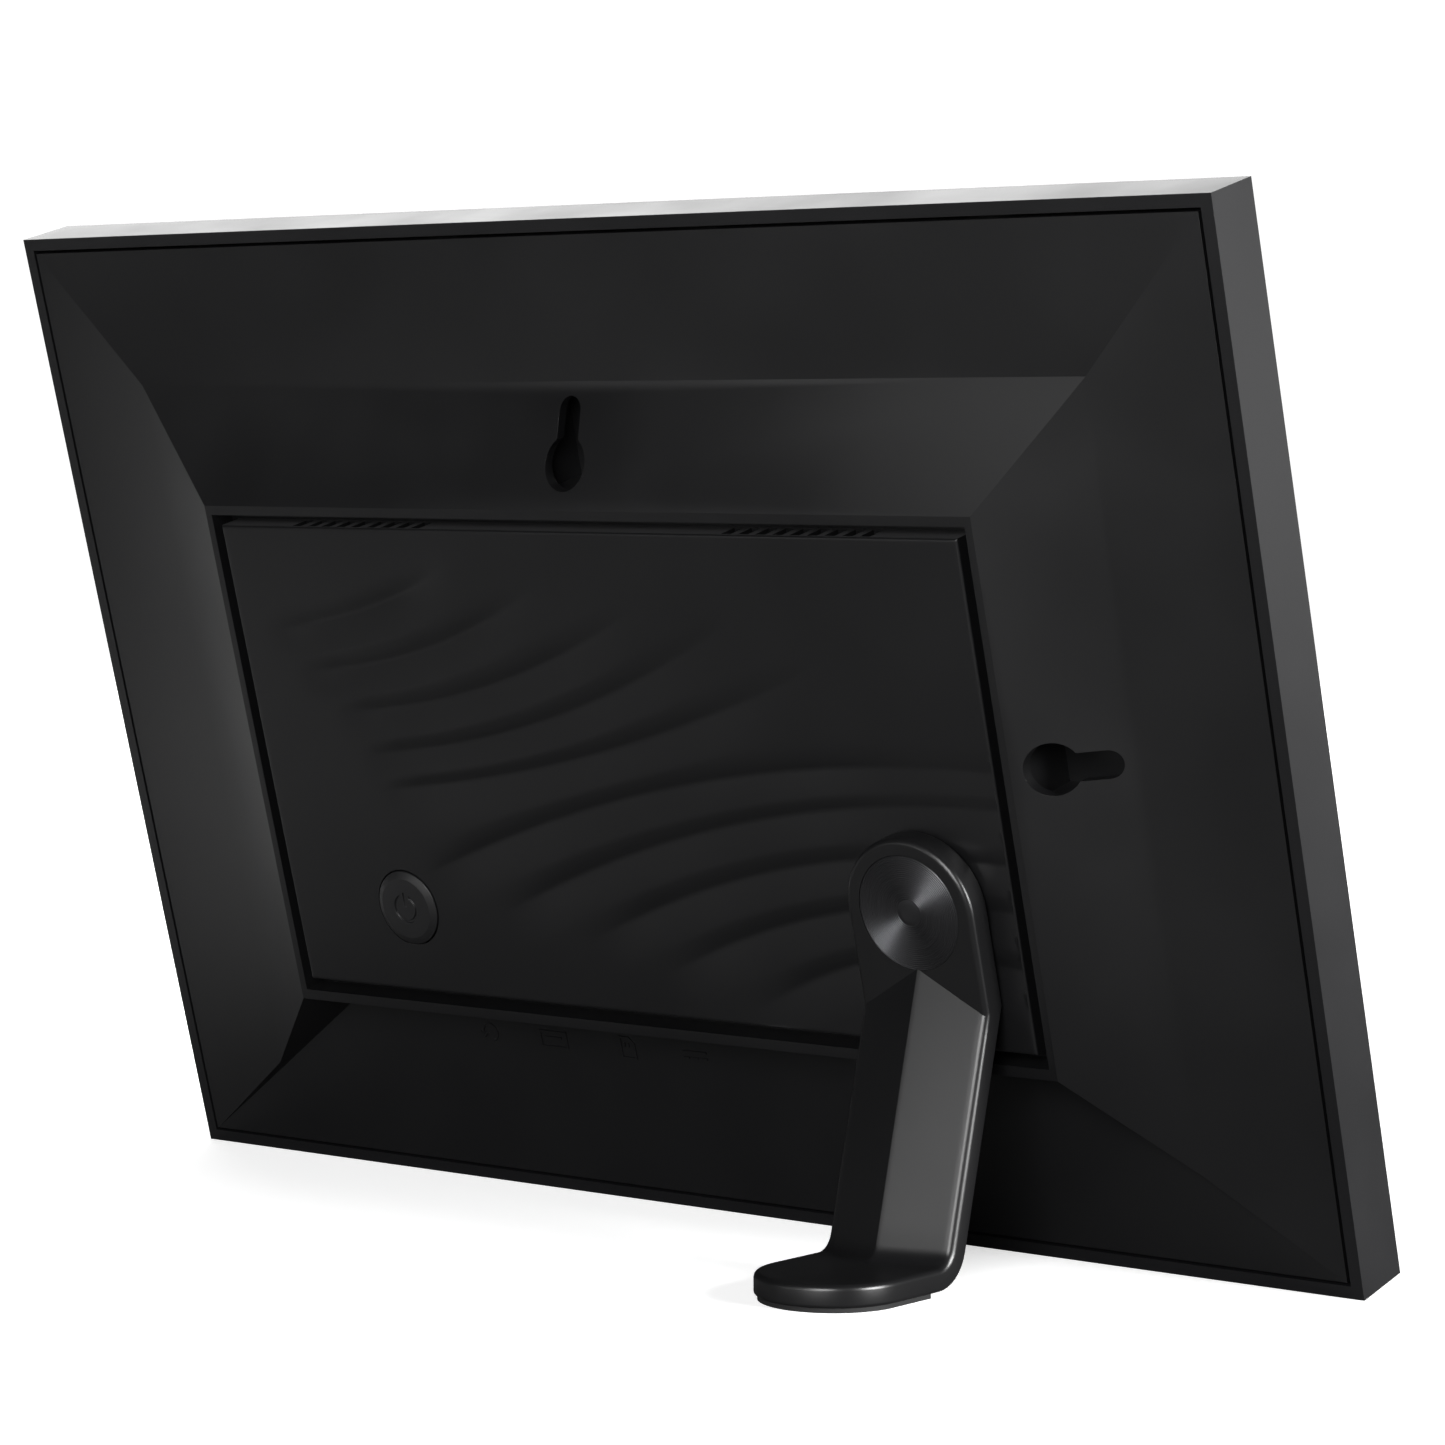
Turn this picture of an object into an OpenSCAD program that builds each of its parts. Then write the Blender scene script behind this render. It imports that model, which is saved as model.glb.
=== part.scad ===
// Digital photo frame, standing on its lower rear edge and on a swivelling rear leg.
// The screen faces -Y, the back faces +Y, +Z is up.
// The origin is on the table under the middle of the footprint.

/* [Frame] */
// Width of the outer frame
frame_w = 265; // [250:1:330]
// Height of the outer frame
frame_h = 182; // [172:1:230]
// Depth of the outer frame's side wall
frame_d = 11.5; // [11.5:0.5:16]
// Thickness of the outer frame's side wall
side_wall = 2.2; // [1.8:0.1:3]
// Thickness of the outer frame's front border
front_wall = 2.6; // [2:0.1:3.4]
// How far the frame leans back when it stands
lean = 15; // [10:1:18]

/* [Screen] */
// Width of the lit picture
picture_w = 216.96; // [200:0.01:220]
// Height of the lit picture
picture_h = 135.6; // [125:0.01:140]
// Width of the screen's glass and backlight
module_w = 229.5; // [220:0.1:232]
// Height of the screen's glass and backlight
module_h = 149.1; // [140:0.1:152]

/* [Rear cover] */
// Wall thickness of the rear cover
cover_wall = 2; // [1.6:0.1:2.4]
// Gap between the outer frame and the rear cover
cover_gap = 0.6; // [0.3:0.1:1]
// Width of the shallow border of the rear cover
border_w = 23.6; // [18:0.1:28]
// Rise of the shallow border
border_rise = 2; // [1:0.1:3]
// Width of the steep faces around the raised middle
hip_w = 19.7; // [16:0.1:24]
// Height of the raised middle above the outer frame
plateau_y = 11; // [10.5:0.1:14]
// Height of the raised middle's lower wall above the table edge
port_wall_z = 37.8; // [34:0.1:44]
// Width of the narrow rim around the wave panel
rim_w = 1.4; // [1:0.1:3]

/* [Wave panel] */
// Gap around the wave panel
panel_gap = 1.95; // [1:0.05:3]
// Thickness of the wave panel's face
panel_t = 1.8; // [1.5:0.1:2.2]
// Number of vent slots in each of the two groups
vent_count = 9; // [3:1:11]
// Distance between vent slots
vent_pitch = 3.63; // [3:0.01:4.2]
// Width of a vent slot
vent_w = 2.1; // [1:0.1:2.4]
// Distance of each vent group from the middle
vent_x = 49.8; // [35:0.1:60]

/* [Leg] */
// Distance of the leg's pivot from the lower edge and from the side edge
pivot_inset = 67.4; // [60:0.1:75]
// Width of the leg
leg_w = 25.6; // [22:0.1:30]
// Thickness of the leg's round head
head_t = 4.7; // [4:0.1:6]
// Thickness of the leg's shank and foot
shank_t = 3.8; // [3:0.1:5]
// Height of the ridge along the shank
ridge_h = 3.7; // [1:0.1:5]
// Angle between the shank and the frame
splay = 29; // [26:0.5:34]
// Length of the foot, from the shank's front line to its tip
foot_reach = 27.5; // [20:0.1:32]
// Diameter of the turned disc on the leg's head
disc_d = 20; // [14:0.1:21]
// Diameter of the leg's pivot
pivot_d = 14; // [10:0.1:15]
// Running clearance around the leg's pivot
pivot_fit = 0.05; // [0.02:0.01:0.1]

/* [Controls and sockets] */
// Diameter of the power button
button_d = 14; // [10:0.1:16]
// Travel of the power button
button_travel = 0.5; // [0.3:0.1:0.8]
// Sideways place of the power button
button_x = 54.2; // [50:0.1:58]
// Height of the power button above the lower edge
button_z = 58.2; // [54:0.1:66]
// Diameter of the keyholes' round end
keyhole_d = 8.9; // [8:0.1:9.5]
// Width of the keyholes' slot
keyhole_slot = 4.8; // [4:0.1:6]
// Distance between the keyholes' round end and the end of the slot
keyhole_run = 8.3; // [7:0.1:9]

/* [Hidden] */
$fn = 64;

// Small gap that keeps neighbouring pieces of one body from overlapping
seat = 0.05;
// Gap between pieces of different bodies that are not a fit
free = 0.3;
// A length larger than the whole object
far = 500;

// Depths are measured along y in the upright frame: 0 at the outer frame's rear rim
front_y = -frame_d;
front_in_y = front_y + front_wall;
gasket_t = 0.4;
glass_t = 1.0;
cell_t = 0.8;
glass_y = front_in_y + gasket_t;
cell_y = glass_y + glass_t;
backlight_y = cell_y + cell_t;
plate_y = -5.2;
plate_t = 0.8;
plate_top_y = plate_y + plate_t;

// Rear cover, half widths and heights of its outlines
half_w = frame_w / 2;
cover_x = half_w - side_wall - cover_gap;
kink_x = cover_x - border_w;
plateau_x = kink_x - hip_w;
cover_low_z = side_wall + cover_gap;
cover_top_z = frame_h - cover_low_z;
kink_top_z = cover_top_z - border_w - 1.4;
plateau_top_z = kink_top_z - hip_w - 0.7;
skirt_y = -4;
skirt_t = 1.8;
// Height of the almost flat lower face where it meets the port wall
low_face_rise = 1;

// Recess for the wave panel
recess_x = plateau_x - rim_w;
recess_low_z = port_wall_z + rim_w + 0.5;
recess_top_z = plateau_top_z - rim_w - 0.35;
floor_y = 6;
floor_t = 1.6;
floor_in_y = floor_y - floor_t;
panel_x = recess_x - panel_gap;
panel_low_z = recess_low_z + panel_gap + 0.35;
panel_top_z = recess_top_z - panel_gap;
panel_in_y = plateau_y - panel_t;
panel_skirt = 1.2;

// Circuit board
board_t = 1.2;
board_y = 0.4;
board_top_y = board_y + board_t;
board_low_z = recess_low_z + 0.5;
board_h = 55;
board_side = 66.5;
board_w = 84;

// Sockets along the port wall, their sideways places
usb_x = 34;
card_x = 16.2;
dc_x = 0.5;
reset_x = 49.6;
socket_z = port_wall_z + 0.2;
usb_w = 8.9;
usb_h = 3.2;
usb_len = 7.6;
usb_sheet = 0.3;
card_w = 14;
card_h = 1.9;
card_len = 15;
card_sheet = 0.25;
dc_w = 5.6;
dc_h = 3.4;
dc_len = 8;
dc_bore_d = 2.6;
dc_pin_d = 0.7;
socket_room = 0.15;

// Leg, in the upright frame
pivot_x = -(half_w - pivot_inset);
pivot_z = pivot_inset;
leg_r = leg_w / 2;
head_in_y = plateau_y + free;
head_y = head_in_y + head_t;
head_low_z = pivot_z - 17.4;
pad_t = 0.8;
bend_r = 3.5;
pivot_r = pivot_d / 2;
bush_wall = 2;
bush_flange_y = floor_in_y - 1.2;
retainer_t = 1.1;
washer_t = 0.5;
retainer_y = bush_flange_y - washer_t - 0.1 - retainer_t;

// Points (y, z) of the upright frame, leaned back on to the table
function leaned(p) = [p[0] * cos(lean) + p[1] * sin(lean), p[1] * cos(lean) - p[0] * sin(lean)];
// Shank directions on the table: down along it, and out of its front face
slant = splay - lean;
down = [sin(slant), -cos(slant)];
outward = [cos(slant), sin(slant)];
knee = leaned([head_y, head_low_z]);
foot_top = pad_t + shank_t;
knee_run = (knee[1] - foot_top) / cos(slant);
ankle = knee + knee_run * down;
foot_tip_y = ankle[0] + foot_reach;
bend_angle = 90 - slant;
bend_leg = bend_r * tan(bend_angle / 2);
heel_r = bend_r + shank_t;
// The shank's back line meets the head's back face here
back_start = knee - shank_t * outward;
// Distance up the shank's back line to the head's back face
back_climb = (back_start[0] * cos(lean) - back_start[1] * sin(lean) - head_in_y) / sin(splay);
back_knee = back_start - back_climb * down;
head_top_back = leaned([head_in_y, pivot_z + leg_r + 1]);
head_top_front = leaned([head_y, pivot_z + leg_r + 1]);

// The table origin is under the middle of the footprint
mid_y = (foot_tip_y + front_y * cos(lean)) / 2;

// Places an upright frame piece leaning back on the table
module stood() {
    translate([0, -mid_y, 0])
        rotate([-lean, 0, 0])
            children();
}

// A cylinder along y, from low y to high y, at x and z
module rod(x, z, low, high, r, sides = 64) {
    translate([x, high, z])
        rotate([90, 0, 0])
            cylinder(r = r, h = high - low, $fn = sides);
}

// A box given by its low and high corners
module block(low, high) {
    translate(low)
        cube(high - low);
}

// A plate outline (x, y) carried along z
module along_z(points, low, high) {
    translate([0, 0, low])
        linear_extrude(high - low)
            polygon(points);
}

// A side outline (y, z) carried along x
module along_x(points, low, high) {
    translate([low, 0, 0])
        rotate([90, 0, 90])
            linear_extrude(high - low)
                polygon(points);
}

// The half space on the side that the normal n points to, through the point p
module half_space(p, n) {
    translate(p)
        rotate([0, acos(n[2] / norm(n)), atan2(n[1], n[0])])
            translate([-far / 2, -far / 2, 0])
                cube(far);
}

// ---------------------------------------------------------------- outer frame

hook_count = 4;
hook_pitch = frame_w / (hook_count + 0.5);
hook_w = 8;
hook_out = 0.45;
hook_y = -3.2;
hook_h = 1.2;

// Places a child at each snap hook along the upper and lower edges
module at_hooks() {
    for (i = [0 : hook_count - 1])
        translate([(i - (hook_count - 1) / 2) * hook_pitch, 0, 0])
            children();
}

// Beside the screen module, and out by the side walls on a wider frame, clear of the side keyhole
screw_side_x = max(module_w / 2 + 5.75, half_w - 12);
screw_low_z = 13.5;
boss_r = 3.2;
// Places of the support plate's screws
plate_points = [
    for (x = [-screw_side_x, screw_side_x])
        for (z = [screw_low_z, frame_h / 2, frame_h - screw_low_z])
            [x, z],
    for (x = [-frame_w / 6, frame_w / 6])
        for (z = [(frame_h - module_h) / 4 + 2, frame_h - (frame_h - module_h) / 4 - 2])
            [x, z]
];

module window_cut() {
    w = picture_w + 0.8;
    h = picture_h + 0.8;
    slope = front_wall;
    translate([0, front_y - 0.01, frame_h / 2])
        rotate([-90, 0, 0])
            linear_extrude(front_wall + 1)
                square([w, h], center = true);
    // Bevel around the window, one wedge for each side
    for (side = [-1, 1]) {
        along_z([
            [side * (w / 2 - 0.01), front_y - 0.01],
            [side * (w / 2 + slope), front_y - 0.01],
            [side * (w / 2 - 0.01), front_y + slope * 0.6]
        ], (frame_h - h) / 2 - slope * 0.5, (frame_h + h) / 2 + slope * 0.5);
        along_x([
            [front_y - 0.01, frame_h / 2 + side * (h / 2 - 0.01)],
            [front_y - 0.01, frame_h / 2 + side * (h / 2 + slope)],
            [front_y + slope * 0.6, frame_h / 2 + side * (h / 2 - 0.01)]
        ], -w / 2 - slope * 0.5, w / 2 + slope * 0.5);
    }
}

module outer_frame() {
    color("#1c1c1e") stood() difference() {
        union() {
            difference() {
                block([-half_w, front_y, 0], [half_w, 0, frame_h]);
                block(
                    [-half_w + side_wall, front_in_y, side_wall],
                    [half_w - side_wall, 1, frame_h - side_wall]
                );
            }
            for (p = plate_points)
                rod(p[0], p[1], front_in_y - 0.2, plate_y - seat, boss_r, 48);
        }
        window_cut();
        for (p = plate_points)
            rod(p[0], p[1], front_in_y + 0.4, 0, 1.15, 32);
        // Pockets that the rear cover's hooks snap into
        at_hooks() {
            block(
                [-hook_w / 2 - 0.5, hook_y - hook_h - 0.3, side_wall - 0.7],
                [hook_w / 2 + 0.5, hook_y + 0.3, side_wall + 0.1]
            );
            block(
                [-hook_w / 2 - 0.5, hook_y - hook_h - 0.3, frame_h - side_wall - 0.1],
                [hook_w / 2 + 0.5, hook_y + 0.3, frame_h - side_wall + 0.7]
            );
        }
    }
}

// --------------------------------------------------------------------- screen

module screen_gasket() {
    low_z = (frame_h - module_h) / 2 + 0.5;
    inner_x = picture_w / 2 + 1;
    inner_z = picture_h / 2 + 1;
    color("#2a2a2a") stood() difference() {
        block(
            [-module_w / 2 + 0.5, front_in_y + seat / 5, low_z],
            [module_w / 2 - 0.5, glass_y - seat / 5, frame_h - low_z]
        );
        block(
            [-inner_x, front_in_y - 1, frame_h / 2 - inner_z],
            [inner_x, glass_y + 1, frame_h / 2 + inner_z]
        );
    }
}

// A plate of the screen's stack, between two depths, smaller by an inset
module screen_layer(low_y, high_y, inset) {
    stood()
        block(
            [-module_w / 2 + inset, low_y, (frame_h - module_h) / 2 + inset],
            [module_w / 2 - inset, high_y, (frame_h + module_h) / 2 - inset]
        );
}

module touch_glass() {
    color("#101012") screen_layer(glass_y, cell_y - seat / 5, 0);
}

module display_cell() {
    color("#202428") screen_layer(cell_y, backlight_y - seat / 5, 1.6);
}

module backlight() {
    color("#c8c8c4") screen_layer(backlight_y, plate_y - seat, 0);
}

// -------------------------------------------------------------- support plate

ribbon_x = 8;
ribbon_w = 20;
touch_x = 40;
touch_w = 10;
ribbon_slot_z = 31;
standoff_points = [
    for (x = [board_side - 4, board_side - board_w + 4])
        for (z = [board_low_z + 20, board_low_z + board_h - 4])
            [x, z]
];
post_x = 72;
post_points = [
    for (x = [-post_x, post_x])
        for (z = [port_wall_z + 9.2, plateau_top_z - 11.8])
            [x, z]
];

module support_plate() {
    plate_edge = side_wall + cover_gap + skirt_t + 1.7;
    color("#9a9da0") stood() difference() {
        block(
            [-half_w + plate_edge, plate_y, plate_edge],
            [half_w - plate_edge, plate_top_y, frame_h - plate_edge]
        );
        for (p = plate_points)
            rod(p[0], p[1], plate_y - 1, 0, 1.5, 32);
        // Slots that the two ribbons come through
        for (s = [[ribbon_x, ribbon_w / 2 + 2], [touch_x, touch_w / 2 + 2]])
            block(
                [s[0] - s[1], plate_y - 1, ribbon_slot_z],
                [s[0] + s[1], 0, ribbon_slot_z + 4]
            );
        // Rows of stamped holes that lighten the plate
        for (side = [-1, 1])
            for (i = [0 : 3])
                rod(side * (module_w / 2 - 14), frame_h / 2 + (i - 1.5) * 22, plate_y - 1, 0, 6, 48);
    }
}

// A pan-head screw along y: the head's underside is at y, the shank goes to -y
module pan_screw(x, z, y, shank_r, shank_l, head_r, head_h) {
    difference() {
        union() {
            rod(x, z, y - shank_l, y + 0.01, shank_r, 32);
            rod(x, z, y, y + head_h, head_r, 40);
        }
        rod(x, z, y + head_h * 0.45, y + head_h + 1, head_r * 0.42, 6);
    }
}

module plate_screws() {
    color("#8f9296") stood()
        for (p = plate_points)
            pan_screw(p[0], p[1], plate_top_y + 0.02, 1.1, 3, 2.3, 1.1);
}

module board_standoffs() {
    color("#b9a25a") stood()
        for (p = standoff_points)
            difference() {
                rod(p[0], p[1], plate_top_y + 0.02, board_y - 0.02, 2.4, 6);
                rod(p[0], p[1], plate_top_y + 0.6, board_y + 1, 1.05, 32);
            }
}

module cover_posts() {
    color("#b9a25a") stood()
        for (p = post_points)
            difference() {
                rod(p[0], p[1], plate_top_y + 0.02, floor_in_y - 0.02, 3.2, 48);
                rod(p[0], p[1], plate_top_y + 1, floor_in_y + 1, 1.3, 32);
            }
}

// --------------------------------------------------------------- circuit board

module main_board() {
    color("#1f4d34") stood() difference() {
        block(
            [board_side - board_w, board_y, board_low_z],
            [board_side, board_top_y, board_low_z + board_h]
        );
        for (p = standoff_points)
            rod(p[0], p[1], board_y - 1, board_top_y + 1, 1.4, 32);
    }
}

module board_screws() {
    color("#8f9296") stood()
        for (p = standoff_points)
            pan_screw(p[0], p[1], board_top_y + 0.02, 1.0, 3.2, 2.0, 1.0);
}

// A part standing on the board's rear face: centre x, low z, width, length, height
module on_board(x, z, w, l, h) {
    block([x - w / 2, board_top_y + 0.01, z], [x + w / 2, board_top_y + h, z + l]);
}

module processor() {
    color("#26282b") stood()
        on_board(28, board_low_z + 31, 15, 15, 1.2);
}

module memory_chips() {
    color("#2b2d30") stood()
        for (z = [board_low_z + 25, board_low_z + 40])
            on_board(8, z, 13, 10, 1);
}

module wifi_module() {
    color("#b4b7b9") stood()
        on_board(-9, board_low_z + 33, 12, 12, 2);
}

antenna_z = 104;

module wifi_antenna() {
    color("#c07a3a") stood()
        block(
            [-48, floor_in_y - 0.35, antenna_z - 4],
            [-10, floor_in_y - 0.02, antenna_z + 4]
        );
}

module antenna_lead() {
    r = 0.55;
    y = floor_in_y - 0.95;
    low_z = board_low_z + 45.2;
    color("#303030") stood() {
        translate([-12, y, low_z])
            cylinder(r = r, h = antenna_z - low_z, $fn = 24);
        translate([-12, y, antenna_z])
            sphere(r = r, $fn = 24);
    }
}

module ribbon_connectors() {
    color("#d8d4c6") stood() {
        on_board(ribbon_x, board_low_z + 14, ribbon_w + 3, 4, 1.6);
        on_board(touch_x, board_low_z + 14, touch_w + 3, 4, 1.6);
    }
}

// A flat ribbon from behind the plate, round the board's low edge, to its connector
module ribbon(x, w) {
    t = 0.2;
    low_y = plate_top_y + 0.1;
    step_y = -1.6;
    in_z = ribbon_slot_z + 1;
    end_z = board_low_z - 0.4;
    along_x([
        [low_y, in_z],
        [low_y + t, in_z],
        [low_y + t, in_z + 4],
        [step_y, end_z - 0.6],
        [step_y, end_z + 12],
        [step_y - t, end_z + 12],
        [step_y - t, end_z - 0.4],
        [low_y, in_z + 4.3]
    ], x - w / 2, x + w / 2);
}

module display_ribbon() {
    color("#b0752c") stood() ribbon(ribbon_x, ribbon_w);
}

module touch_ribbon() {
    color("#b0752c") stood() ribbon(touch_x, touch_w);
}

// ------------------------------------------------------------------- switches

switch_w = 6;
switch_h = 3.5;
stem_r = 1.7;
switch_top_y = board_top_y + switch_h;
stem_free = button_travel + 0.15;

module power_switch() {
    color("#3a3c40") stood() difference() {
        on_board(button_x, button_z - switch_w / 2, switch_w, switch_w, switch_h);
        rod(button_x, button_z, switch_top_y - stem_free - 0.3, switch_top_y + 1, stem_r + 0.15, 48);
    }
}

reset_y = board_top_y + 1.25;
reset_low_z = recess_low_z + 1.5;
reset_r = 0.7;
reset_travel = 0.25;

module reset_switch() {
    color("#3a3c40") stood() difference() {
        on_board(reset_x, reset_low_z, 4.2, 3.2, 2.5);
        rod_z(reset_x, reset_y, reset_low_z - 1, reset_low_z + 1.2, reset_r + 0.1);
    }
}

// A cylinder along z
module rod_z(x, y, low, high, r, sides = 40) {
    translate([x, y, low])
        cylinder(r = r, h = high - low, $fn = sides);
}

module reset_plunger() {
    color("#d8d4c6") stood()
        rod_z(reset_x, reset_y, reset_low_z - 0.7, reset_low_z + 0.8, reset_r);
}

// -------------------------------------------------------------------- sockets

// A bar along z with half-round sides
module oval_bar(x, y, w, h, low, high) {
    flat = (w - h) / 2;
    block([x - flat, y - h / 2, low], [x + flat, y + h / 2, high]);
    for (side = [-1, 1])
        rod_z(x + side * flat, y, low, high, h / 2);
}

usb_y = board_top_y + 0.02 + usb_h / 2;

module usb_shell() {
    color("#b8babd") stood() difference() {
        oval_bar(usb_x, usb_y, usb_w, usb_h, socket_z, socket_z + usb_len);
        oval_bar(
            usb_x, usb_y, usb_w - 2 * usb_sheet, usb_h - 2 * usb_sheet,
            socket_z - 1, socket_z + usb_len - usb_sheet
        );
    }
}

module usb_tongue() {
    in_z = socket_z + usb_len - usb_sheet - 0.02;
    foot = usb_h / 2 - usb_sheet - seat;
    half = (usb_w - usb_h) / 2;
    color("#e8e6e0") stood() {
        block([usb_x - half - 0.4, usb_y - 0.35, socket_z + 0.8], [usb_x + half + 0.4, usb_y + 0.35, in_z]);
        block([usb_x - half, usb_y - foot, in_z - 1.6], [usb_x + half, usb_y + foot, in_z]);
    }
}

// A sheet-metal pocket for the card, open at its low end
module card_socket() {
    low_y = board_top_y + 0.02;
    high_y = board_top_y + card_h;
    color("#b8babd") stood() difference() {
        block(
            [card_x - card_w / 2, low_y, socket_z],
            [card_x + card_w / 2, high_y, socket_z + card_len]
        );
        block(
            [card_x - card_w / 2 + card_sheet, low_y + card_sheet, socket_z - 1],
            [card_x + card_w / 2 - card_sheet, high_y - card_sheet, socket_z + card_len - card_sheet]
        );
    }
}

dc_y = board_top_y + 0.02 + dc_h / 2;
dc_deep = dc_len - 1.5;

module dc_jack() {
    nose_z = socket_z - 0.1;
    color("#232426") stood() difference() {
        union() {
            block(
                [dc_x - dc_w / 2, board_top_y + 0.02, socket_z + 2],
                [dc_x + dc_w / 2, dc_y + dc_h / 2, socket_z + dc_len]
            );
            rod_z(dc_x, dc_y, nose_z, socket_z + 2.5, dc_h / 2);
        }
        rod_z(dc_x, dc_y, nose_z - 1, socket_z + dc_deep, dc_bore_d / 2);
        rod_z(dc_x, dc_y, socket_z + dc_deep - 1, socket_z + dc_deep + 1, dc_pin_d / 2 + seat);
    }
}

module dc_pin() {
    color("#c9b15c") stood()
        rod_z(dc_x, dc_y, socket_z + 1, socket_z + dc_deep + 0.9, dc_pin_d / 2);
}

// ------------------------------------------------------------------- speakers

speaker_w = 31;
speaker_l = 15;
speaker_z = plateau_top_z - 21;
speaker_top_y = floor_in_y - 0.5;
speaker_low_y = speaker_top_y - 4;
cone_r = 5.6;

module speaker_boxes() {
    color("#222325") stood()
        for (x = [-vent_x, vent_x])
            difference() {
                block(
                    [x - speaker_w / 2, speaker_low_y, speaker_z],
                    [x + speaker_w / 2, speaker_top_y, speaker_z + speaker_l]
                );
                rod(x, speaker_z + speaker_l / 2, speaker_top_y - 2.2, speaker_top_y + 1, cone_r + 0.6, 48);
            }
}

// A shallow cone with a dust cap, turned about the speaker's axis
module speaker_cones() {
    color("#4a4b4d") stood()
        for (x = [-vent_x, vent_x])
            translate([x, speaker_top_y - 2.15, speaker_z + speaker_l / 2])
                rotate([-90, 0, 0])
                    rotate_extrude($fn = 48)
                        polygon([
                            [0, 0],
                            [2, 0],
                            [cone_r + 0.5, 1.5],
                            [cone_r + 0.5, 1.8],
                            [cone_r, 1.8],
                            [2, 0.5],
                            [0, 1]
                        ]);
}

module speaker_gaskets() {
    color("#161617") stood()
        for (x = [-vent_x, vent_x])
            difference() {
                block(
                    [x - speaker_w / 2, speaker_top_y + 0.02, speaker_z],
                    [x + speaker_w / 2, floor_in_y - 0.02, speaker_z + speaker_l]
                );
                rod(x, speaker_z + speaker_l / 2, speaker_top_y - 1, floor_in_y + 1, cone_r + 1, 48);
            }
}

// ------------------------------------------------------------------ rear cover

// The cut that lowers the band under the raised middle: a nearly flat lower face,
// two drafted side walls and the port wall, all moved outwards by grow
module port_pocket(grow) {
    p1 = [half_w - 2.2 + grow, 0, 2.2];
    p2 = [kink_x + grow, border_rise, 19.5];
    p3 = [plateau_x + grow, plateau_y, port_wall_z];
    wall = cross(p2 - p1, p3 - p1);
    inward = wall[0] < 0 ? wall : -wall;
    intersection() {
        along_x([
            [-0.08, -far],
            [0, cover_low_z],
            [low_face_rise, port_wall_z + grow],
            [far / 2, port_wall_z + grow],
            [far / 2, -far]
        ], -half_w * 2, half_w * 2);
        half_space(p1, inward);
        mirror([1, 0, 0])
            half_space(p1, inward);
    }
}

// The rear cover's outer form: shallow border, steep hips, raised middle, pocket
module cover_form(grow) {
    difference() {
        intersection() {
            along_z([
                [-cover_x, skirt_y],
                [cover_x, skirt_y],
                [cover_x, 0],
                [kink_x, border_rise],
                [plateau_x, plateau_y],
                [-plateau_x, plateau_y],
                [-kink_x, border_rise],
                [-cover_x, 0]
            ], 0, frame_h);
            along_x([
                [skirt_y, cover_low_z],
                [plateau_y, cover_low_z],
                [plateau_y, plateau_top_z],
                [border_rise, kink_top_z],
                [0, cover_top_z],
                [skirt_y, cover_top_z]
            ], -half_w, half_w);
        }
        port_pocket(grow);
    }
}

// Hanging keyholes, in their own plane: round end at the origin, slot along +z
module keyhole_shape(low_y, high_y) {
    rod(0, 0, low_y, high_y, keyhole_d / 2, 64);
    block([-keyhole_slot / 2, low_y, 0], [keyhole_slot / 2, high_y, keyhole_run]);
    rod(0, keyhole_run, low_y, high_y, keyhole_slot / 2, 64);
}

keyhole_top_z = plateau_top_z + 7.4;
keyhole_side_x = -(plateau_x + 6.4);

// Places a child at both keyholes: the upper one, and the one for hanging upright
module at_keyholes() {
    translate([0, 0, keyhole_top_z])
        children();
    translate([keyhole_side_x, 0, frame_h / 2])
        rotate([0, -90, 0])
            children();
}

hanger_floor_y = -3.4;
hanger_wall = 1;
hanger_x = keyhole_d / 2 + 2.2;

// The closed box behind a keyhole that keeps the screw's head off the electronics
module hanger_box(extra) {
    block(
        [-hanger_x + extra, hanger_floor_y + extra, -keyhole_d / 2 - 1.2 + extra],
        [hanger_x - extra, plateau_y, keyhole_run + keyhole_slot / 2 + 1.8 - extra]
    );
}

module cover_tub() {
    intersection() {
        cover_form(0);
        block(
            [-plateau_x, floor_in_y, port_wall_z],
            [plateau_x, plateau_y, plateau_top_z]
        );
    }
}

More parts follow.
